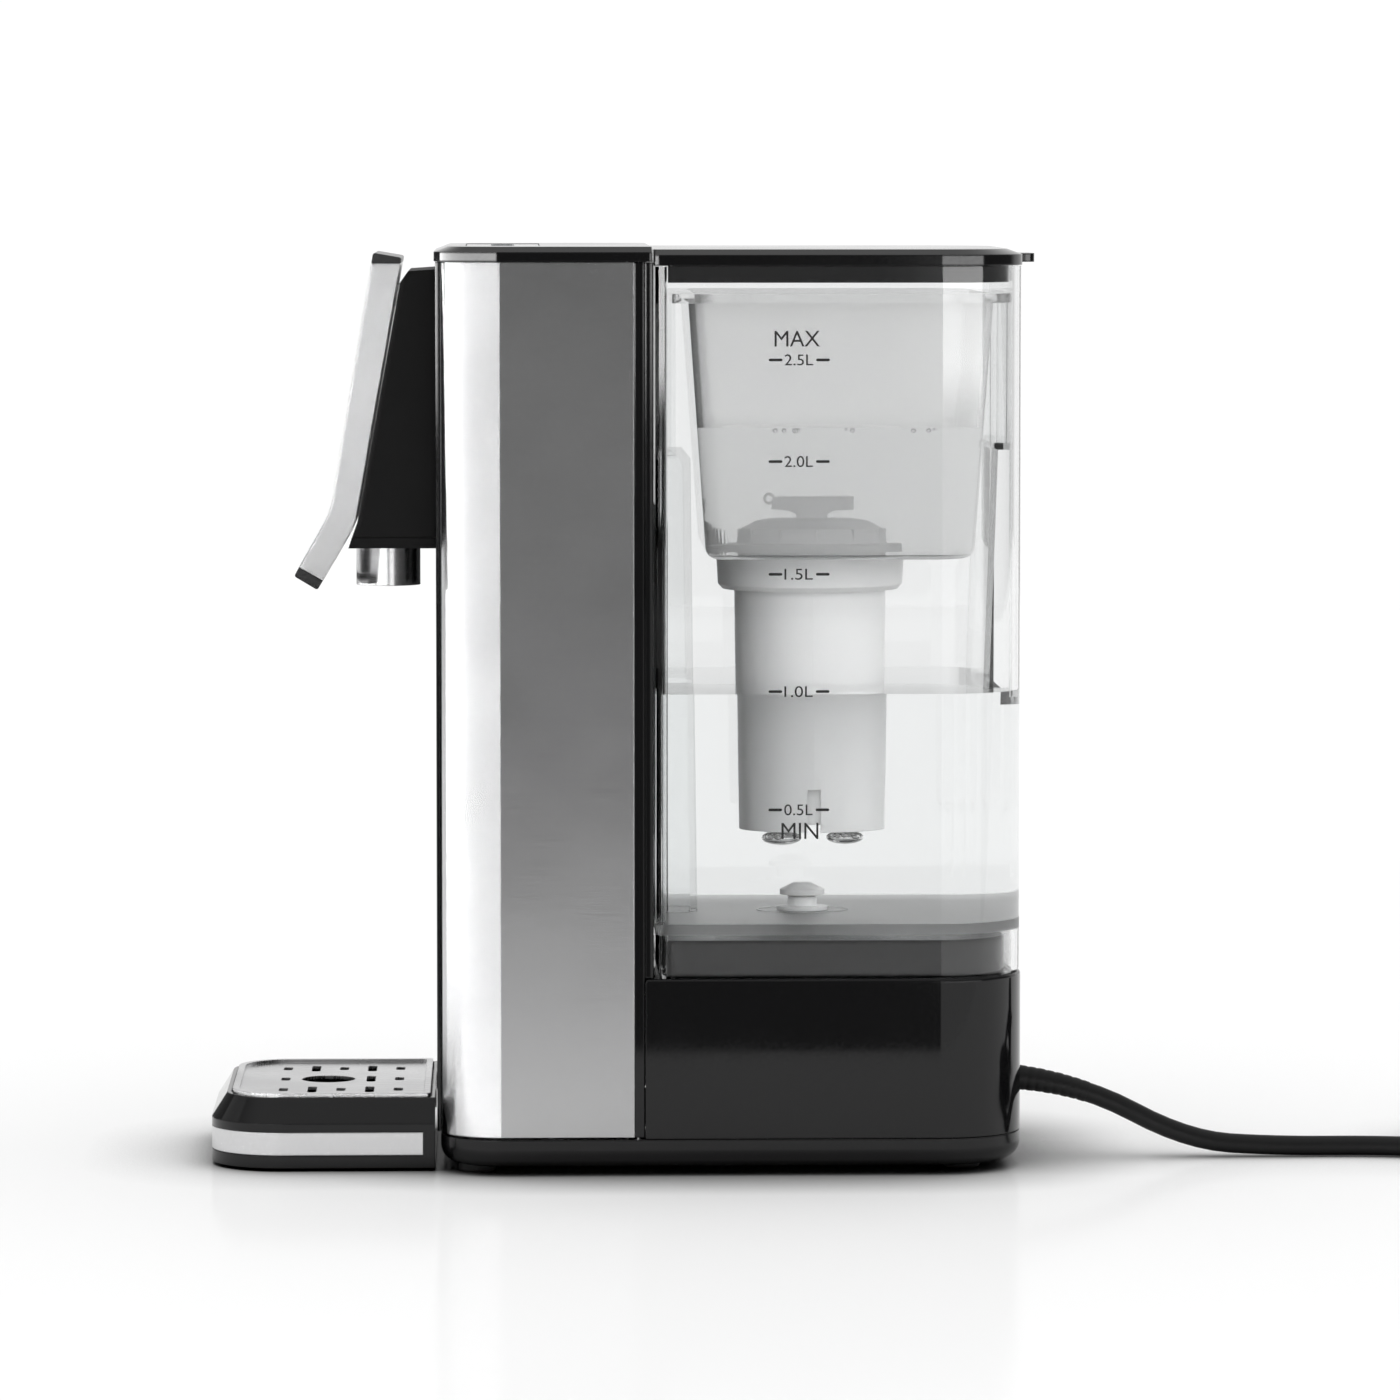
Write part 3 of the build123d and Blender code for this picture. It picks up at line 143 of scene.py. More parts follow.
# ---- printed marks: the heights on the tank's side wall, and the spans along it ----
INK_THICK = 0.06
LEVELS = [("2.5L", 268.6), ("2.0L", 235.4), ("1.5L", 198.5), ("1.0L", 160.0), ("0.5L", 121.1)]
LEVEL_LETTERS = (52.0, 61.3)
LEVEL_BARS = [(46.8, 51.3), (62.3, 66.8)]
LETTER_HALF = 1.8
BAR_SHAPE = (2.25, 0.42)
BAR_HALF = 0.45
LIMITS = [("MAX", (48.7, 63.5), (273.0, 278.1)), ("MIN", (51.1, 63.2), (111.5, 116.8))]

# ---- touch fields on the cap ----
KEY_SPACING = 14.0
KEY_RADIUS = 3.6
KEY_LINE = 0.5
KEY_DOT_RADIUS = 0.9
KEY_DOT_LINE = 0.7
KEY_THICK = 0.05
POWER_GAP = 70.0

# ---- floor, in metres ----
FLOOR_NEAR = 0.40
FLOOR_FAR = -3.0
FLOOR_EDGE = 3.0
FLOOR_SIDE = 3.0
FLOOR_TONE = 0.95
# Painted shadow on the floor: how far from the machine it reaches, and how much it darkens.
PAINTED_SHADOW_REACH = 0.045
PAINTED_SHADOW_DEPTH = 1.5
SHEEN_ROUGHNESS = 0.12
SHEEN_SHARE = 0.1

# ---- light ----
# How bright each part of the studio is. Angles are in degrees: azimuth from +X, the
# side that faces the camera, and height above level.
STRIP_LIGHT = 13.0
STRIP_HEIGHTS = (-1.5, -0.1)
SIDE_LIGHT = 0.3
SIDE_HEIGHTS = (2.5, 38.0)
LEFT_SPAN = (-126.0, -6.0)
RIGHT_SPAN = (6.0, 60.0)
RIGHT_SHARE = 0.45
LOW_LIGHT = 0.75
LOW_HEIGHTS = (-14.0, -2.0)
BACK_LEFT_RISE = (112.0, 130.0)
BACK_RIGHT_RISE = (-165.0, -175.0)
BACK_HEIGHT_FALL = (15.0, 50.0)
OVERHEAD_LIGHT = 0.55
OVERHEAD_RISE = (30.0, 55.0)
AXIS_LIGHT = 0.12
TANK_SHADE = 0.9
TENT_LIGHT = 0.85
TENT_GAIN = 0.4
TENT_RISE = (-10.0, 60.0)
BACKDROP_LIGHT = 1.02
SIDEWAYS_LIGHT = 0.3
BEYOND_LIGHT = 0.72
BEYOND_RISE = (125.0, 150.0)
BEHIND_WHITE_LIGHT = 3.3


def metres(*values):
    """A vector in metres from values in millimetres."""
    return Vector([v * MM for v in values])


def add_object(name, mesh, body, slot):
    """A new piece that moves with a CAD body."""
    piece = bpy.data.objects.new(name, mesh)
    bpy.context.scene.collection.objects.link(piece)
    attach(piece, body)
    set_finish(piece, slot)
    return piece


def mesh_of(piece):
    """The piece's mesh with its modifiers and curve bevel worked out."""
    graph = bpy.context.evaluated_depsgraph_get()
    return bpy.data.meshes.new_from_object(piece.evaluated_get(graph))


def finished(shape, name):
    """The built shape as a mesh of that name."""
    mesh = bpy.data.meshes.new(name)
    shape.to_mesh(mesh)
    shape.free()
    return mesh


def shade(mesh, angle=35.0):
    """Smooth shading with edges sharper than the angle kept."""
    mesh.shade_smooth()
    mesh.set_sharp_from_angle(angle=math.radians(angle))
    return mesh


# ================= camera and cord =================
def make_camera():
    """The camera looks along -X at the tank's side, from a little above."""
    yaw = math.radians(CAMERA_YAW)
    pitch = math.radians(CAMERA_PITCH)
    forward = Vector(
        (-math.cos(pitch) * math.cos(yaw), math.cos(pitch) * math.sin(yaw), -math.sin(pitch))
    )
    data = bpy.data.cameras.new("camera")
    data.lens = CAMERA_LENS
    data.sensor_width = 36.0
    data.clip_end = 50.0
    camera = bpy.data.objects.new("camera", data)
    camera.location = metres(*CAMERA_SPOT)
    camera.rotation_euler = forward.to_track_quat("-Z", "Y").to_euler()
    bpy.context.scene.collection.objects.link(camera)
    bpy.context.scene.camera = camera


def coil_points():
    """The put-away turns: a lower spiral running in, an upper one running out."""
    start = Vector(CORD_ROUTE[-1][:2]) - Vector(COIL_CENTRE)
    end = Vector(LEAD_ROUTE[0][:2]) - Vector(COIL_CENTRE)
    first_angle = math.atan2(start.y, start.x)
    points = []
    count = round(COIL_TURNS * COIL_STEPS)
    for step in range(1, count):
        turn = COIL_TURNS * step / count
        if turn < COIL_LOWER_TURNS:
            share = turn / COIL_LOWER_TURNS
            radius = start.length + (COIL_INNER - start.length) * share
        else:
            share = (turn - COIL_LOWER_TURNS) / (COIL_TURNS - COIL_LOWER_TURNS)
            radius = COIL_INNER + (end.length - COIL_INNER) * share
        climb = min(max((turn - COIL_LOWER_TURNS + 0.2) / 0.4, 0.0), 1.0)
        low, high = COIL_LAYERS
        angle = first_angle + 2 * math.pi * turn
        points.append(
            (
                COIL_CENTRE[0] + radius * math.cos(angle),
                COIL_CENTRE[1] + radius * math.sin(angle),
                low + (high - low) * climb,
            )
        )
    return points


def make_cord():
    """The lead from the machine to the plug, with the points of its centreline."""
    points = CORD_ROUTE + coil_points() + LEAD_ROUTE
    curve = bpy.data.curves.new("mains_lead", "CURVE")
    curve.dimensions = "3D"
    curve.resolution_u = 6
    curve.use_fill_caps = True
    spline = curve.splines.new("NURBS")
    spline.points.add(len(points) - 1)
    for control, spot in zip(spline.points, points):
        control.co = (*metres(*spot), 1.0)
        control.radius = CORD_DIAMETER / 2 * MM
    spline.order_u = 3
    spline.use_endpoint_u = True
    cord = add_object("mains_lead", curve, "housing", "cord_black")
    line = mesh_of(cord)
    path = [v.co.copy() for v in line.vertices]
    curve.bevel_depth = 1.0
    curve.bevel_resolution = 6
    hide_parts("cord_tube", "cord_coil", "cord_plug_lead")
    return cord, path


def swept(name, path, radii, body, slot, sides=24):
    """A round tube along a path, with one radius at each point."""
    shape = bmesh.new()
    loops = []
    for index, (spot, radius) in enumerate(zip(path, radii)):
        before = path[max(index - 1, 0)]
        after = path[min(index + 1, len(path) - 1)]
        turn = (after - before).to_track_quat("Z", "Y")
        loop = []
        for side in range(sides):
            angle = 2 * math.pi * side / sides
            arm = Vector((math.cos(angle) * radius, math.sin(angle) * radius, 0.0))
            loop.append(shape.verts.new(spot + turn @ arm))
        loops.append(loop)
    for low, high in zip(loops, loops[1:]):
        for side in range(sides):
            other = (side + 1) % sides
            shape.faces.new((low[side], low[other], high[other], high[side]))
    shape.faces.new(loops[0][::-1])
    shape.faces.new(loops[-1])
    return add_object(name, shade(finished(shape, name)), body, slot)


def along(path, length, steps):
    """Evenly spaced points on the first stretch of a path."""
    found = []
    for step in range(steps + 1):
        left = length * step / steps
        for here, after in zip(path, path[1:]):
            run = (after - here).length
            if left <= run:
                found.append(here.lerp(after, left / run))
                break
            left -= run
    return found


def make_relief(path):
    """The tapered sleeve with shallow rings that keeps the lead from kinking."""
    steps = 48
    radii = []
    for step in range(steps + 1):
        share = step / steps
        radius = RELIEF_RADIUS - RELIEF_TAPER * share
        if 0.12 < share < 0.95 and step % 6 < 2:
            radius -= 0.15
        radii.append(radius * MM)
    spots = along(path, RELIEF_LENGTH * MM, steps)
    return swept("lead_relief", spots, radii, "housing", "cord_black")


def revolved(name, profile, origin, axis, body, slot, sides=64, ribs=0, rib_depth=0.0, ribbed=()):
    """A turned piece about an axis. Stations in the ribbed range have grooves along them."""
    turn = Vector(axis).to_track_quat("Z", "Y")
    shape = bmesh.new()
    loops = []
    for radius, height in profile:
        loop = []
        for side in range(sides):
            angle = 2 * math.pi * side / sides
            reach = radius
            if ribbed and ribbed[0] <= height <= ribbed[1]:
                reach -= rib_depth * (0.5 + 0.5 * math.cos(ribs * angle))
            arm = metres(reach * math.cos(angle), reach * math.sin(angle), height)
            loop.append(shape.verts.new(Vector(origin) + turn @ arm))
        loops.append(loop)
    for low, high in zip(loops, loops[1:]):
        for side in range(sides):
            other = (side + 1) % sides
            shape.faces.new((low[side], low[other], high[other], high[side]))
    shape.faces.new(loops[0][::-1])
    shape.faces.new(loops[-1])
    return add_object(name, shade(finished(shape, name)), body, slot)


def make_plug():
    """A round moulded plug with a ringed tail, grip grooves and two sleeved pins."""
    low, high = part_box("plug_body")
    middle = (low + high) / 2
    origin = Vector((high.x, middle.y, middle.z))
    across = (-1.0, 0.0, 0.0)
    profile = [(0.3, 0.0), (4.2, 0.2)]
    for ringlet in range(5):
        start = 1.5 + 2.1 * ringlet
        profile += [(4.7, start), (4.7, start + 1.1), (4.1, start + 1.4), (4.1, start + 1.9)]
    profile += [(5.6, 12.6), (8.0, 14.0), (11.5, 15.6), (15.4, 18.2), (17.4, 21.0), (18.2, 24.0)]
    profile += [(18.3, 25.0 + 0.9 * step) for step in range(15)]
    profile += [(18.2, 39.2), (17.9, 40.6), (17.2, 41.5), (16.0, 41.8), (0.3, 41.9)]
    plug = revolved(
        "plug_moulding", profile, origin, across, "housing", "cord_black",
        sides=144, ribs=36, rib_depth=0.8, ribbed=(26.0, 36.5),
    )
    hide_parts("plug_body")
    pieces = [plug]
    metal_profile = [(0.2, 0.0), (2.35, 0.0), (2.35, 17.2), (2.1, 18.2), (1.4, 18.8), (0.2, 18.95)]
    sleeve_profile = [(1.9, -0.3), (2.4, -0.3), (2.4, 9.2), (2.36, 9.6), (1.9, 9.6)]
    for number, side in enumerate((-PIN_SIDE, PIN_SIDE)):
        spot = Vector((low.x, middle.y + side * MM, middle.z))
        pin = revolved(f"plug_pin_{number}", metal_profile, spot, across, "housing", "plug_metal", 32)
        sleeve = revolved(
            f"pin_sleeve_{number}", sleeve_profile, spot, across, "housing", "cord_black", 32
        )
        pieces += [pin, sleeve]
    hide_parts("plug_pins")
    for number, side in enumerate((-1, 1)):
        spot = Vector((low.x + 9.0 * MM, middle.y, middle.z + side * 17.9 * MM))
        pieces.append(strip(f"earth_clip_{number}", spot, (17.0, 5.0, 0.8), "housing", "plug_metal"))
    return pieces


def strip(name, centre, size, body, slot):
    """A small plate with softened edges."""
    shape = bmesh.new()
    bmesh.ops.create_cube(shape, size=1.0)
    bmesh.ops.scale(shape, vec=metres(*size), verts=shape.verts)
    bmesh.ops.bevel(
        shape, geom=shape.edges[:], offset=0.2 * min(size) * MM, segments=2, affect="EDGES"
    )
    bmesh.ops.translate(shape, vec=centre, verts=shape.verts)
    return add_object(name, shade(finished(shape, name)), body, slot)


def make_tie():
    """A strap round the turns, with its loose end pressed flat."""
    angle = math.radians(200)
    radial = Vector((math.cos(angle), math.sin(angle), 0.0))
    tangent = Vector((-radial.y, radial.x, 0.0))
    low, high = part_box("cord_tie")
    middle = (low + high) / 2
    half_high = (high.z - low.z) / 2 / MM - 0.05
    outline = []
    for quarter in range(4):
        sign_r = 1 if quarter in (0, 3) else -1
        sign_z = 1 if quarter in (0, 1) else -1
        for step in range(7):
            turn = math.radians(90 * quarter + 15 * step)
            outline.append(
                (
                    sign_r * (TIE_HALF_LONG - TIE_CORNER) + TIE_CORNER * math.cos(turn),
                    sign_z * (half_high - TIE_CORNER) + TIE_CORNER * math.sin(turn),
                )
            )
    shape = bmesh.new()
    loops = []
    for across, shrink in ((-2.4, 0.15), (-2.0, 0.0), (2.0, 0.0), (2.4, 0.15)):
        for inner in (0.0, 0.9):
            loop = []
            for r, z in outline:
                scale_r = 1 - (shrink + inner) / TIE_HALF_LONG
                scale_z = 1 - (shrink + inner) / half_high
                spot = middle + radial * (r * scale_r * MM) + tangent * (across * MM)
                loop.append(shape.verts.new(spot + Vector((0, 0, z * scale_z * MM))))
            loops.append(loop)
    order = [loops[0], loops[2], loops[4], loops[6], loops[7], loops[5], loops[3], loops[1]]
    for here, after in zip(order, order[1:] + order[:1]):
        for index in range(len(outline)):
            other = (index + 1) % len(outline)
            shape.faces.new((here[index], here[other], after[other], after[index]))
    bmesh.ops.recalc_face_normals(shape, faces=shape.faces)
    tie = add_object("lead_tie", shade(finished(shape, "lead_tie")), "housing", "cord_black")
    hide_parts("cord_tie")
    return tie


make_camera()
CORD, CORD_PATH = make_cord()
RELIEF = make_relief(CORD_PATH)
PLUG_PIECES = make_plug()
TIE = make_tie()


# ================= materials =================
def noise_node(tree, vector, scale, detail, stretch):
    """A noise over the vector, stretched along each axis."""
    mapping = tree.nodes.new("ShaderNodeMapping")
    mapping.inputs["Scale"].default_value = stretch
    tree.links.new(vector, mapping.inputs["Vector"])
    noise = tree.nodes.new("ShaderNodeTexNoise")
    noise.inputs["Scale"].default_value = scale
    noise.inputs["Detail"].default_value = detail
    tree.links.new(mapping.outputs["Vector"], noise.inputs["Vector"])
    return noise.outputs["Fac"]


def mapped(tree, value, low, high):
    """The value moved from the middle of a noise's range to between low and high."""
    node = tree.nodes.new("ShaderNodeMapRange")
    node.inputs["From Min"].default_value = 0.3
    node.inputs["From Max"].default_value = 0.7
    node.inputs["To Min"].default_value = low
    node.inputs["To Max"].default_value = high
    tree.links.new(value, node.inputs["Value"])
    return node.outputs["Result"]


def make_material(
    name,
    colour,
    roughness,
    grain=900.0,
    stretch=(1.0, 1.0, 1.0),
    smudge=25.0,
    spread=0.04,
    tone=0.1,
    bump=0.05,
    depth=0.03,
    edge=0.4,
    values=None,
):
    """A finish with fine grain in tone and roughness, broad smudges in roughness, and softened edges."""
    material = bpy.data.materials.new(name)
    material.use_nodes = True
    tree = material.node_tree
    shader = tree.nodes["Principled BSDF"]
    for socket, value in (values or {}).items():
        shader.inputs[socket].default_value = value
    coords = tree.nodes.new("ShaderNodeTexCoord").outputs["Object"]
    fine = noise_node(tree, coords, grain, 4.0, stretch)
    broad = noise_node(tree, coords, smudge, 3.0, (1.0, 1.0, 1.0))
    both = tree.nodes.new("ShaderNodeMath")
    both.operation = "ADD"
    both.use_clamp = True
    tree.links.new(mapped(tree, fine, roughness - spread / 2, roughness + spread / 2), both.inputs[0])
    tree.links.new(mapped(tree, broad, -spread / 2, spread / 2), both.inputs[1])
    tree.links.new(both.outputs["Value"], shader.inputs["Roughness"])
    mix = tree.nodes.new("ShaderNodeMix")
    mix.data_type = "RGBA"
    mix.inputs["A"].default_value = (*[c * (1 - tone) for c in colour], 1.0)
    mix.inputs["B"].default_value = (*[min(c * (1 + tone), 1.0) for c in colour], 1.0)
    tree.links.new(mapped(tree, fine, 0.0, 1.0), mix.inputs["Factor"])
    tree.links.new(mix.outputs["Result"], shader.inputs["Base Color"])
    if bump:
        relief = tree.nodes.new("ShaderNodeBump")
        relief.inputs["Strength"].default_value = bump
        relief.inputs["Distance"].default_value = depth * MM
        tree.links.new(fine, relief.inputs["Height"])
        tree.links.new(relief.outputs["Normal"], shader.inputs["Normal"])
        if edge:
            bevel = tree.nodes.new("ShaderNodeBevel")
            bevel.samples = 4
            bevel.inputs["Radius"].default_value = edge * MM
            tree.links.new(bevel.outputs["Normal"], relief.inputs["Normal"])
    return material


METAL = {"Metallic": 1.0}
CLEAR = {"Transmission Weight": 1.0, "IOR": 1.49, "Specular IOR Level": 0.2}
MATERIALS = {
    "black_gloss": make_material(
        "black_gloss",
        (0.004, 0.004, 0.0043),
        0.06,
        bump=0.02,
        edge=0.7,
        values={"Specular IOR Level": 0.38},
    ),
    "black_matte": make_material(
        "black_matte",
        (0.005, 0.005, 0.0052),
        0.5,
        grain=2600.0,
        bump=0.2,
        edge=0.8,
        values={"Specular IOR Level": 0.17},
    ),
    "black_trim": make_material("black_trim", (0.02, 0.02, 0.0205), 0.22, bump=0.05, edge=0.5),
    "touch_glass": make_material("touch_glass", (0.004, 0.004, 0.0045), 0.04, bump=0.01, edge=0.3),
    "brushed_steel": make_material(
        "brushed_steel",
        (0.76, 0.76, 0.765),
        0.22,
        grain=110.0,
        stretch=(0.5, 0.5, 90.0),
        spread=0.03,
        tone=0.05,
        bump=0.03,
        depth=0.01,
        values={"Metallic": 1.0, "Anisotropic": 1.0, "Anisotropic Rotation": 0.25},
    ),
    "brushed_plate": make_material(
        "brushed_plate",
        (0.72, 0.72, 0.725),
        0.28,
        grain=60.0,
        stretch=(75.0, 0.5, 1.0),
        spread=0.12,
        tone=0.10,
        bump=0.2,
        depth=0.02,
        values=METAL,
    ),
    "chrome": make_material(
        "chrome", (0.95, 0.95, 0.955), 0.2, spread=0.03, tone=0.03, bump=0.02, edge=0.9, values=METAL
    ),
    # A darker copy of the chrome for the tray's band: painted shade, so the bright floor mirrored in it
    # reads dimmer.
    "shaded_chrome_band": make_material(
        "shaded_chrome_band", (0.68, 0.68, 0.685), 0.1, spread=0.03, tone=0.03, bump=0.02, edge=0.5, values=METAL
    ),
    "nozzle_steel": make_material(
        "nozzle_steel",
        (0.62, 0.62, 0.625),
        0.2,
        grain=50.0,
        stretch=(1.0, 1.0, 60.0),
        bump=0.1,
        values=METAL,
    ),
    "machined_steel": make_material(
        "machined_steel", (0.45, 0.45, 0.46), 0.3, grain=1500.0, bump=0.1, values=METAL
    ),
    "plug_metal": make_material(
        "plug_metal", (0.72, 0.71, 0.68), 0.22, grain=1200.0, bump=0.06, values=METAL
    ),
    "circuit_board": make_material("circuit_board", (0.02, 0.12, 0.06), 0.4, grain=500.0, tone=0.3),
    "black_rubber": make_material(
        "black_rubber", (0.018, 0.018, 0.018), 0.65, grain=1800.0, bump=0.3
    ),
    "silicone": make_material(
        "silicone",
        (0.72, 0.72, 0.7),
        0.4,
        bump=0.08,
        values={"Subsurface Weight": 0.3, "Subsurface Radius": (0.002, 0.002, 0.002)},
    ),
    "clear_plastic": make_material(
        "clear_plastic",
        (0.975, 0.98, 0.98),
        0.015,
        spread=0.01,
        tone=0.005,
        bump=0.0,
        values=CLEAR,
    ),
    "frosted_plastic": make_material(
        "frosted_plastic",
        (0.975, 0.975, 0.975),
        0.07,
        grain=1500.0,
        spread=0.02,
        tone=0.01,
        bump=0.0,
        values={"Transmission Weight": 0.82, "IOR": 1.35},
    ),
    "white_plastic": make_material(
        "white_plastic",
        (0.93, 0.93, 0.93),
        0.38,
        grain=1400.0,
        tone=0.02,
        bump=0.08,
        values={"Subsurface Weight": 0.25, "Subsurface Radius": (0.003, 0.003, 0.003)},
    ),
    "filter_granules": make_material(
        "filter_granules", (0.25, 0.2, 0.14), 0.7, grain=420.0, tone=0.6, bump=0.9, depth=0.6
    ),
    "cord_black": make_material(
        "cord_black",
        (0.006, 0.006, 0.0062),
        0.42,
        grain=2200.0,
        spread=0.08,
        bump=0.12,
        values={"Specular IOR Level": 0.3},
    ),
    "water": make_material(
        "water",
        (0.985, 0.99, 0.99),
        0.0,
        spread=0.0,
        tone=0.002,
        bump=0.0,
        values={"Transmission Weight": 1.0, "IOR": 1.333},
    ),
    "air_bubble": make_material(
        "air_bubble",
        (0.97, 0.97, 0.97),
        0.0,
        spread=0.0,
        tone=0.002,
        bump=0.0,
        values={"Transmission Weight": 1.0, "IOR": 0.75},
    ),
    "ink_black": make_material("ink_black", (0.01, 0.01, 0.01), 0.5, grain=3000.0, bump=0.1),
    "ink_pale": make_material("ink_pale", (0.62, 0.64, 0.66), 0.5, grain=3000.0, bump=0.1),
}


def faded(tree, value, start, end):
    """Rises from 0 to 1 as the value goes from start to end, both in millimetres."""
    node = tree.nodes.new("ShaderNodeMapRange")
    node.inputs["From Min"].default_value = start * MM
    node.inputs["From Max"].default_value = end * MM
    tree.links.new(value, node.inputs["Value"])
    return node.outputs["Result"]


def frost_tank_floor():
    """The tank's raised floor is grained, so it is less clear than the walls above it."""
    tree = MATERIALS["clear_plastic"].node_tree
    shader = tree.nodes["Principled BSDF"]
    smooth = shader.inputs["Roughness"].links[0].from_socket
    coords = tree.nodes.new("ShaderNodeTexCoord").outputs["Object"]
    split = tree.nodes.new("ShaderNodeSeparateXYZ")
    tree.links.new(coords, split.inputs["Vector"])
    height = split.outputs["Z"]
    inside = tree.nodes.new("ShaderNodeMath")
    inside.operation = "MULTIPLY"
    tree.links.new(faded(tree, height, FROST_HIGH, FROST_HIGH - FROST_FADE), inside.inputs[0])
    tree.links.new(faded(tree, height, FROST_LOW, FROST_LOW + FROST_FADE), inside.inputs[1])
    rough = tree.nodes.new("ShaderNodeMath")
    rough.operation = "MULTIPLY_ADD"
    rough.inputs[1].default_value = FROST_ROUGHNESS
    tree.links.new(inside.outputs["Value"], rough.inputs[0])
    tree.links.new(smooth, rough.inputs[2])
    tree.links.new(rough.outputs["Value"], shader.inputs["Roughness"])


def absorb(name, density):
    """A clear material that darkens light a little over a long way through it."""
    tree = MATERIALS[name].node_tree
    inside = tree.nodes.new("ShaderNodeVolumeAbsorption")
    inside.inputs["Color"].default_value = (0.5, 0.5, 0.5, 1.0)
    inside.inputs["Density"].default_value = density
    tree.links.new(inside.outputs["Volume"], tree.nodes["Material Output"].inputs["Volume"])


def paint(piece, name):
    """The material in every slot of the piece."""
    material = MATERIALS[name]
    slots = piece.data.materials
    if not len(slots):
        slots.append(material)
    for index in range(len(slots)):
        slots[index] = material


def paint_frame():
    """Every CAD node gets the finish of its slot. The grille gets a brushed plate, and the tray's band
    gets a darker copy of the chrome, a painted shade that dims the floor mirrored in it.
    """
    for row in frame["record"]["subparts"]:
        slot = row["material_slot"]
        name = {"tray_grille": "brushed_plate", "tray_band": "shaded_chrome_band"}.get(row["node"], slot)
        paint(frame["nodes"][row["node"]], name)


# ================= water, bubbles and marks =================
def rounded_plan(half, front, rear, front_radius, rear_radius, steps=10):
    """The outline of a rectangle with rounded corners, seen from above."""
    corners = [
        (half, rear, rear_radius, 0),
        (-half, rear, rear_radius, 90),
        (-half, front, front_radius, 180),
        (half, front, front_radius, 270),
    ]
    outline = []
    for x, y, radius, start in corners:
        centre_x = x - math.copysign(radius, x)
        centre_y = y - radius if y == rear else y + radius
        for step in range(steps + 1):
            turn = math.radians(start + 90 * step / steps)
            outline.append((centre_x + radius * math.cos(turn), centre_y + radius * math.sin(turn)))
    return outline


def lofted(name, layers):
    """A closed solid through outlines that have the same number of points."""
    shape = bmesh.new()
    loops = [[shape.verts.new(metres(x, y, z)) for x, y in outline] for z, outline in layers]
    for low, high in zip(loops, loops[1:]):
        for index in range(len(low)):
            other = (index + 1) % len(low)
            shape.faces.new((low[index], low[other], high[other], high[index]))
    shape.faces.new(loops[0][::-1])
    shape.faces.new(loops[-1])
    return finished(shape, name)


def side_cutter(outline, half):
    """A (Y, Z) outline as wide as the two halves, to cut other shapes with."""
    shape = bmesh.new()
    near = [shape.verts.new(metres(half, y, z)) for y, z in outline]
    far = [shape.verts.new(metres(-half, y, z)) for y, z in outline]
    for index in range(len(outline)):
        other = (index + 1) % len(outline)
        shape.faces.new((near[index], near[other], far[other], far[index]))
    shape.faces.new(near[::-1])
    shape.faces.new(far)
    bmesh.ops.recalc_face_normals(shape, faces=shape.faces)
    cutter = bpy.data.objects.new("cutter", finished(shape, "cutter"))
    bpy.context.scene.collection.objects.link(cutter)
    return cutter


def cut(mesh, cutters):
    """The mesh less the cutters, which are removed."""
    block = bpy.data.objects.new("block", mesh)
    bpy.context.scene.collection.objects.link(block)
    for cutter in cutters:
        change = block.modifiers.new("cut", "BOOLEAN")
        change.operation = "DIFFERENCE"
        change.solver = "EXACT"
        change.object = cutter
    result = mesh_of(block)
    for used in [block] + cutters:
        bpy.data.objects.remove(used)
    return result


def make_tank_water():
    """The water in the tank. It reaches a hair into the walls, so no air gap shows."""
    low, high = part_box("tank_shell")
    inset = TANK_WALL - OVERLAP
    half, front, rear = high.x / MM - inset, low.y / MM + inset, high.y / MM - inset
    outline = rounded_plan(half, front, rear, *TANK_CORNERS)
    block = lofted("tank_water", [(TANK_FLOOR - OVERLAP, outline), (TANK_WATER, outline)])
    groove = side_cutter(GROOVE_OUTLINE, GROOVE_HALF)
    grip = side_cutter(GRIP_OUTLINE, GRIP_HALF)
    water = add_object("tank_water", cut(block, [groove, grip]), "tank", "clear_plastic")
    paint(water, "water")


def make_funnel_water():
    """The water still standing above the filter."""
    layers = []
    front_corner, rear_corner = FUNNEL_CORNERS
    for z in (FUNNEL_FLOOR - OVERLAP, FUNNEL_WATER):
        share = (z - FUNNEL_FLOOR) / FUNNEL_HEIGHT
        half, front, rear = (
            side + flare * share for side, flare in zip(FUNNEL_SIDES, FUNNEL_FLARE)
        )
        outline = rounded_plan(
            half + OVERLAP,
            front - OVERLAP,
            rear + OVERLAP,
            front_corner,
            rear_corner + FUNNEL_CORNER_FLARE * share,
        )
        layers.append((z, outline))
    water = add_object("funnel_water", lofted("funnel_water", layers), "funnel", "clear_plastic")
    paint(water, "water")


def bubble_mesh(name, spots):
    """Round and slightly flattened bubbles as one mesh."""
    shape = bmesh.new()
    for x, y, z, radius, flat in spots:
        place = Matrix.Translation(metres(x, y, z)) @ Matrix.Diagonal((1.0, 1.0, flat, 1.0))
        bmesh.ops.create_icosphere(shape, subdivisions=3, radius=radius * MM, matrix=place)
    mesh = finished(shape, name)
    mesh.shade_smooth()
    return mesh


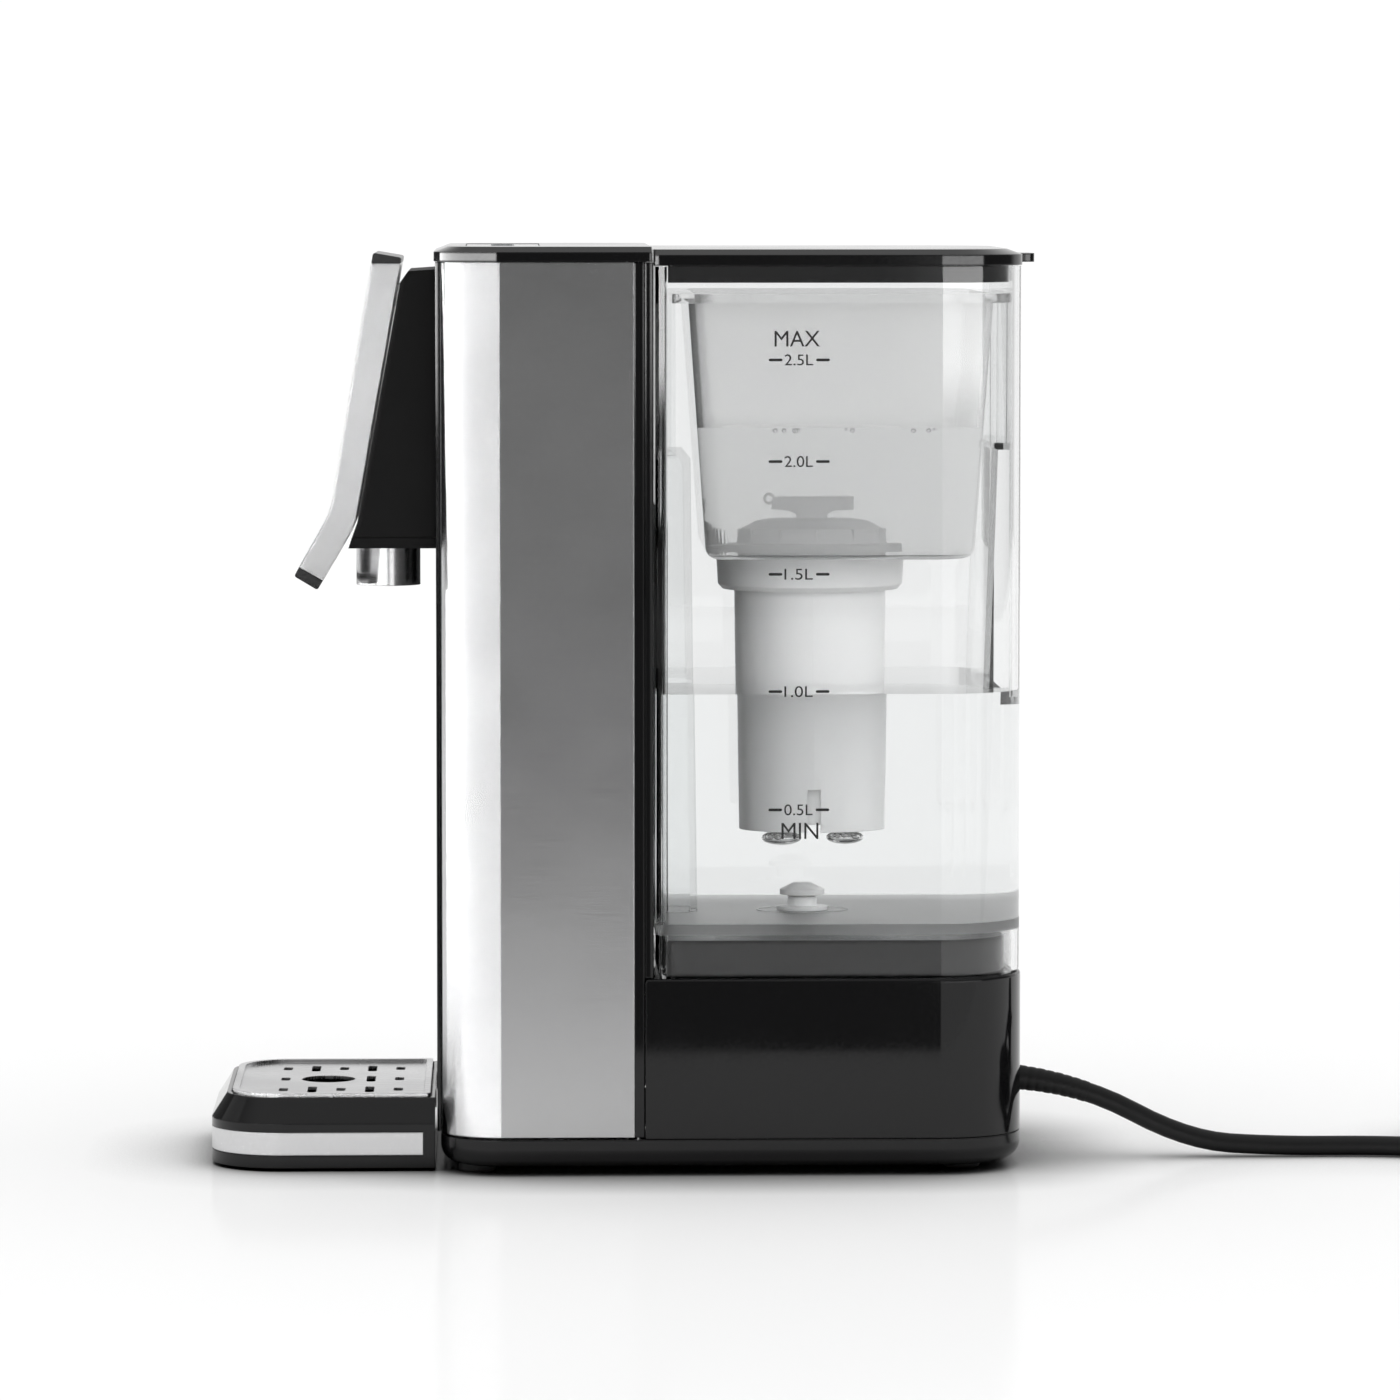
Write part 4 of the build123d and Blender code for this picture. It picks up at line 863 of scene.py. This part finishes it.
def make_bubbles():
    """Air caught under the filter sleeve, and small bubbles on the funnel's water."""
    source = random.Random(BUBBLE_SEED)
    under = []
    for start, end in CAUGHT_SPANS:
        half = (end - start) / 2
        z = SLEEVE_UNDERSIDE - CAUGHT_FLATNESS * half
        under.append((CAUGHT_SIDE, (start + end) / 2, z, half, CAUGHT_FLATNESS))
        for _ in range(BEADS_EACH):
            radius = source.uniform(*BEAD_RADII)
            y = source.uniform(start + radius, end - radius)
            under.append((BEAD_SIDE, y, SLEEVE_UNDERSIDE - 0.9 * radius, radius, BEAD_FLATNESS))
    floating = []
    for _ in range(FLOATING_COUNT):
        side = source.uniform(*FLOATING_SIDES)
        y = source.uniform(*FLOATING_ROWS)
        radius = source.uniform(*FLOATING_RADII)
        floating.append((side, y, FUNNEL_WATER - radius - 0.1, radius, FLOATING_FLATNESS))
    for name, spots, body in (("sleeve_bubbles", under, "tank"), ("funnel_bubbles", floating, "funnel")):
        paint(add_object(name, bubble_mesh(name, spots), body, "clear_plastic"), "air_bubble")


def stamped(name, meshes, body, slot, ink):
    """Several flat shapes joined into one printed mark."""
    shape = bmesh.new()
    for mesh in meshes:
        shape.from_mesh(mesh)
    bmesh.ops.triangulate(shape, faces=shape.faces[:])
    mark = add_object(name, finished(shape, name), body, slot)
    paint(mark, ink)
    return mark


def lettering(text):
    """A word as a mesh in its own plane."""
    curve = bpy.data.curves.new("word", "FONT")
    curve.body = text
    curve.extrude = 0.01
    word = bpy.data.objects.new("word", curve)
    bpy.context.scene.collection.objects.link(word)
    mesh = mesh_of(word)
    bpy.data.objects.remove(word)
    return mesh


def fitted(mesh, x, y_range, z_range, thick):
    """The flat mesh laid on the tank's side wall, filling the Y and Z ranges."""
    spots = [v.co.copy() for v in mesh.vertices]
    low = Vector([min(s[axis] for s in spots) for axis in range(3)])
    size = Vector([max(s[axis] for s in spots) for axis in range(3)]) - low
    for vertex, spot in zip(mesh.vertices, spots):
        share = [(spot[axis] - low[axis]) / size[axis] for axis in range(3)]
        vertex.co = metres(
            x + thick * share[2],
            y_range[0] + (y_range[1] - y_range[0]) * share[0],
            z_range[0] + (z_range[1] - z_range[0]) * share[1],
        )
    return mesh


def capsule(half_long, half_high, steps=8):
    """A flat bar with round ends, in its own plane."""
    shape = bmesh.new()
    outline = []
    for end in (0, 1):
        for step in range(steps + 1):
            turn = math.radians(-90 + 180 * end + 180 * step / steps)
            shift = (half_long - half_high) * (1 - 2 * end)
            outline.append((shift + half_high * math.cos(turn), half_high * math.sin(turn)))
    low = [shape.verts.new((x, y, 0.0)) for x, y in outline]
    high = [shape.verts.new((x, y, 0.01)) for x, y in outline]
    for index in range(len(outline)):
        other = (index + 1) % len(outline)
        shape.faces.new((low[index], low[other], high[other], high[index]))
    shape.faces.new(low[::-1])
    shape.faces.new(high)
    return finished(shape, "bar")


def make_marks():
    """The level marks printed on the tank's side wall."""
    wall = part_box("tank_shell")[1].x / MM
    for text, z in LEVELS:
        letters = (z - LETTER_HALF, z + LETTER_HALF)
        meshes = [fitted(lettering(text), wall, LEVEL_LETTERS, letters, INK_THICK)]
        for y_range in LEVEL_BARS:
            bar = capsule(*BAR_SHAPE)
            meshes.append(fitted(bar, wall, y_range, (z - BAR_HALF, z + BAR_HALF), INK_THICK))
        name = "level_mark_" + text.replace(".", "_").lower()
        stamped(name, meshes, "tank", "black_trim", "ink_black")
    for text, y_range, z_range in LIMITS:
        mesh = fitted(lettering(text), wall, y_range, z_range, INK_THICK)
        stamped("limit_mark_" + text.lower(), [mesh], "tank", "black_trim", "ink_black")


def ring_mesh(x, y, z, radius, width, high, steps=64, gap=0.0):
    """A flat ring lying level, open at one side if it has a gap, in degrees."""
    shape = bmesh.new()
    closed = gap == 0.0
    loops = []
    count = steps if closed else steps + 1
    for step in range(count):
        turn = math.radians(90 + gap / 2 + (360 - gap) * step / steps)
        loop = []
        for reach, rise in ((-1, 0), (1, 0), (1, 1), (-1, 1)):
            r = radius + reach * width / 2
            loop.append(
                shape.verts.new(metres(x + r * math.cos(turn), y + r * math.sin(turn), z + rise * high))
            )
        loops.append(loop)
    pairs = list(zip(loops, loops[1:])) + ([(loops[-1], loops[0])] if closed else [])
    for here, after in pairs:
        for index in range(4):
            other = (index + 1) % 4
            shape.faces.new((here[index], after[index], after[other], here[other]))
    if not closed:
        shape.faces.new(loops[0])
        shape.faces.new(loops[-1][::-1])
    bmesh.ops.recalc_face_normals(shape, faces=shape.faces)
    return finished(shape, "ring")


def make_touch_symbols():
    """Plain touch fields on the glass in the cap: a row of dotted rings, with an open power ring."""
    low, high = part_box("control_panel")
    y = (low.y + high.y) / 2 / MM
    top = high.z / MM
    meshes = []
    for column in (-2, -1, 0, 1, 2):
        x = KEY_SPACING * column
        gap = 0.0 if column else POWER_GAP
        meshes.append(ring_mesh(x, y, top, KEY_RADIUS, KEY_LINE, KEY_THICK, gap=gap))
        if column:
            meshes.append(ring_mesh(x, y, top, KEY_DOT_RADIUS, KEY_DOT_LINE, KEY_THICK, steps=24))
    stamped("touch_fields", meshes, "housing", "touch_glass", "ink_pale")


def make_floor_ring():
    """The raised ring moulded in the tank's floor round the valve."""
    z = TANK_FLOOR - VALVE_RING_SUNK
    mesh = ring_mesh(0, VALVE_RING_Y, z, VALVE_RING_RADIUS, VALVE_RING_LINE, VALVE_RING_THICK)
    paint(add_object("floor_ring", shade(mesh), "tank", "clear_plastic"), "clear_plastic")


frost_tank_floor()
absorb("clear_plastic", 16.0)
paint_frame()
for piece in [CORD, RELIEF, TIE]:
    paint(piece, "cord_black")
for piece in PLUG_PIECES:
    paint(piece, "plug_metal" if piece["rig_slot"] == "plug_metal" else "cord_black")
make_tank_water()
make_funnel_water()
make_bubbles()
make_marks()
make_touch_symbols()
make_floor_ring()


# ================= floor and light =================
def floor_material():
    """Pale and matte with a faint sheen, and a painted shadow: its colour is darker where the machine
    nearly touches it.
    """
    material = bpy.data.materials.new("floor")
    material.use_nodes = True
    tree = material.node_tree
    tree.nodes.remove(tree.nodes["Principled BSDF"])
    matte = tree.nodes.new("ShaderNodeBsdfDiffuse")
    # Painted shadow: ambient occlusion darkens the floor's colour near the machine's footprint.
    painted_shadow = tree.nodes.new("ShaderNodeAmbientOcclusion")
    painted_shadow.samples = 8
    painted_shadow.inputs["Distance"].default_value = PAINTED_SHADOW_REACH
    painted_shadow.inputs["Color"].default_value = (FLOOR_TONE, FLOOR_TONE, FLOOR_TONE, 1.0)
    darker = tree.nodes.new("ShaderNodeGamma")
    darker.inputs["Gamma"].default_value = PAINTED_SHADOW_DEPTH
    tree.links.new(painted_shadow.outputs["Color"], darker.inputs["Color"])
    tree.links.new(darker.outputs["Color"], matte.inputs["Color"])
    sheen = tree.nodes.new("ShaderNodeBsdfGlossy")
    sheen.inputs["Roughness"].default_value = SHEEN_ROUGHNESS
    mix = tree.nodes.new("ShaderNodeMixShader")
    mix.inputs["Fac"].default_value = SHEEN_SHARE
    tree.links.new(matte.outputs["BSDF"], mix.inputs[1])
    tree.links.new(sheen.outputs["BSDF"], mix.inputs[2])
    tree.links.new(mix.outputs["Shader"], tree.nodes["Material Output"].inputs["Surface"])
    return material


def make_floor():
    """Two sheets. The front one isn't mirrored in the machine's gloss side."""
    material = floor_material()
    for name, near, far in (("floor", FLOOR_NEAR, FLOOR_FAR), ("floor_front", FLOOR_EDGE, FLOOR_NEAR)):
        shape = bmesh.new()
        corners = [(near, -FLOOR_SIDE), (near, FLOOR_SIDE), (far, FLOOR_SIDE), (far, -FLOOR_SIDE)]
        shape.faces.new([shape.verts.new((x, y, 0.0)) for x, y in corners])
        mesh = finished(shape, name)
        mesh.materials.append(material)
        floor = bpy.data.objects.new(name, mesh)
        bpy.context.scene.collection.objects.link(floor)
        floor.visible_glossy = name == "floor"


class Graph:
    """Short calls for the number nodes of the world."""

    def __init__(self, tree):
        self.tree = tree

    def math(self, operation, a, b=None):
        node = self.tree.nodes.new("ShaderNodeMath")
        node.operation = operation
        for index, value in enumerate((a, b)):
            if value is None:
                continue
            if isinstance(value, (int, float)):
                node.inputs[index].default_value = value
            else:
                self.tree.links.new(value, node.inputs[index])
        return node.outputs["Value"]

    def step(self, value, low, high):
        """Rises smoothly from 0 at low to 1 at high."""
        node = self.tree.nodes.new("ShaderNodeMapRange")
        node.interpolation_type = "SMOOTHSTEP"
        node.inputs["From Min"].default_value = low
        node.inputs["From Max"].default_value = high
        self.tree.links.new(value, node.inputs["Value"])
        return node.outputs["Result"]

    def window(self, value, low, high, soft):
        """1 between low and high, fading to 0 over the soft width on each side."""
        rise = self.step(value, low - soft, low)
        fall = self.math("SUBTRACT", 1.0, self.step(value, high, high + soft))
        return self.math("MULTIPLY", rise, fall)


def mirrored_light(graph, rays, azimuth, height):
    """What gloss and metal see: a strip and soft light each side, dark behind the camera."""
    right = graph.math("MULTIPLY", graph.window(azimuth, *RIGHT_SPAN, 3.0), RIGHT_SHARE)
    sides = graph.math("ADD", graph.window(azimuth, *LEFT_SPAN, 3.0), right)
    strip = graph.math("MULTIPLY", graph.window(height, *STRIP_HEIGHTS, 0.5), STRIP_LIGHT)
    above = graph.math("MULTIPLY", graph.window(height, *SIDE_HEIGHTS, 3.0), SIDE_LIGHT)
    near_right = graph.math(
        "MULTIPLY", graph.window(azimuth, *RIGHT_SPAN, 2.0), graph.window(height, *LOW_HEIGHTS, 2.0)
    )
    back_left = graph.step(azimuth, *BACK_LEFT_RISE)
    back = graph.math("ADD", back_left, graph.step(azimuth, *BACK_RIGHT_RISE))
    below = graph.math("SUBTRACT", 1.0, graph.step(height, *BACK_HEIGHT_FALL))
    low_back = graph.math("MULTIPLY", back, below)
    light = graph.math("MULTIPLY", sides, graph.math("ADD", strip, above))
    light = graph.math("ADD", light, graph.math("MULTIPLY", near_right, LOW_LIGHT))
    light = graph.math("ADD", light, graph.math("MULTIPLY", low_back, LOW_LIGHT))
    overhead = graph.math("MULTIPLY", graph.step(height, *OVERHEAD_RISE), OVERHEAD_LIGHT)
    light = graph.math("ADD", light, graph.math("ADD", overhead, AXIS_LIGHT))
    inside_tank = graph.math("MINIMUM", rays.outputs["Transmission Depth"], 1.0)
    outside = graph.math("SUBTRACT", 1.0, graph.math("MULTIPLY", inside_tank, TANK_SHADE))
    return graph.math("MULTIPLY", light, outside)


def light_through(graph, rays, azimuth):
    """What the camera sees, and what shows through the tank: darker to the sides."""
    beyond = graph.step(graph.math("ABSOLUTE", azimuth), *BEYOND_RISE)
    clear_view = graph.math("ADD", graph.math("MULTIPLY", beyond, BEYOND_LIGHT), SIDEWAYS_LIGHT)
    backdrop = graph.math("MULTIPLY", rays.outputs["Is Camera Ray"], BACKDROP_LIGHT)
    clear_view = graph.math("MAXIMUM", clear_view, backdrop)
    from_white = graph.math("MINIMUM", rays.outputs["Diffuse Depth"], 1.0)
    return graph.math("MAXIMUM", clear_view, graph.math("MULTIPLY", from_white, BEHIND_WHITE_LIGHT))


def chosen(graph, share, light, other):
    """The light where the share is 1, and the other where it is 0."""
    rest = graph.math("MULTIPLY", graph.math("SUBTRACT", 1.0, share), other)
    return graph.math("ADD", graph.math("MULTIPLY", share, light), rest)


def make_world():
    """A white studio. Gloss and metal see it darker than plain surfaces and clear plastic do."""
    world = bpy.data.worlds.new("studio")
    bpy.context.scene.world = world
    world.use_nodes = True
    world.cycles.sampling_method = "NONE"
    tree = world.node_tree
    graph = Graph(tree)
    coords = tree.nodes.new("ShaderNodeTexCoord")
    split = tree.nodes.new("ShaderNodeSeparateXYZ")
    tree.links.new(coords.outputs["Generated"], split.inputs["Vector"])
    x, y, z = (split.outputs[axis] for axis in "XYZ")
    azimuth = graph.math("MULTIPLY", graph.math("ARCTAN2", y, x), 180 / math.pi)
    height = graph.math("MULTIPLY", graph.math("ARCSINE", z), 180 / math.pi)
    rays = tree.nodes.new("ShaderNodeLightPath")
    tent = graph.math("MULTIPLY", graph.step(height, *TENT_RISE), TENT_GAIN)
    tent = graph.math("ADD", tent, TENT_LIGHT)
    mirrored = mirrored_light(graph, rays, azimuth, height)
    level = chosen(graph, rays.outputs["Is Glossy Ray"], mirrored, tent)
    direct = graph.math(
        "MAXIMUM", rays.outputs["Is Camera Ray"], rays.outputs["Is Transmission Ray"]
    )
    level = chosen(graph, direct, light_through(graph, rays, azimuth), level)
    background = tree.nodes["Background"]
    background.inputs["Color"].default_value = (1.0, 1.0, 1.0, 1.0)
    tree.links.new(level, background.inputs["Strength"])


make_floor()
make_world()
bpy.context.scene.view_settings.view_transform = "Standard"
bpy.context.scene.cycles.max_bounces = 24
bpy.context.scene.cycles.transmission_bounces = 24
bpy.context.scene.cycles.glossy_bounces = 8

bpy.context.view_layer.update()
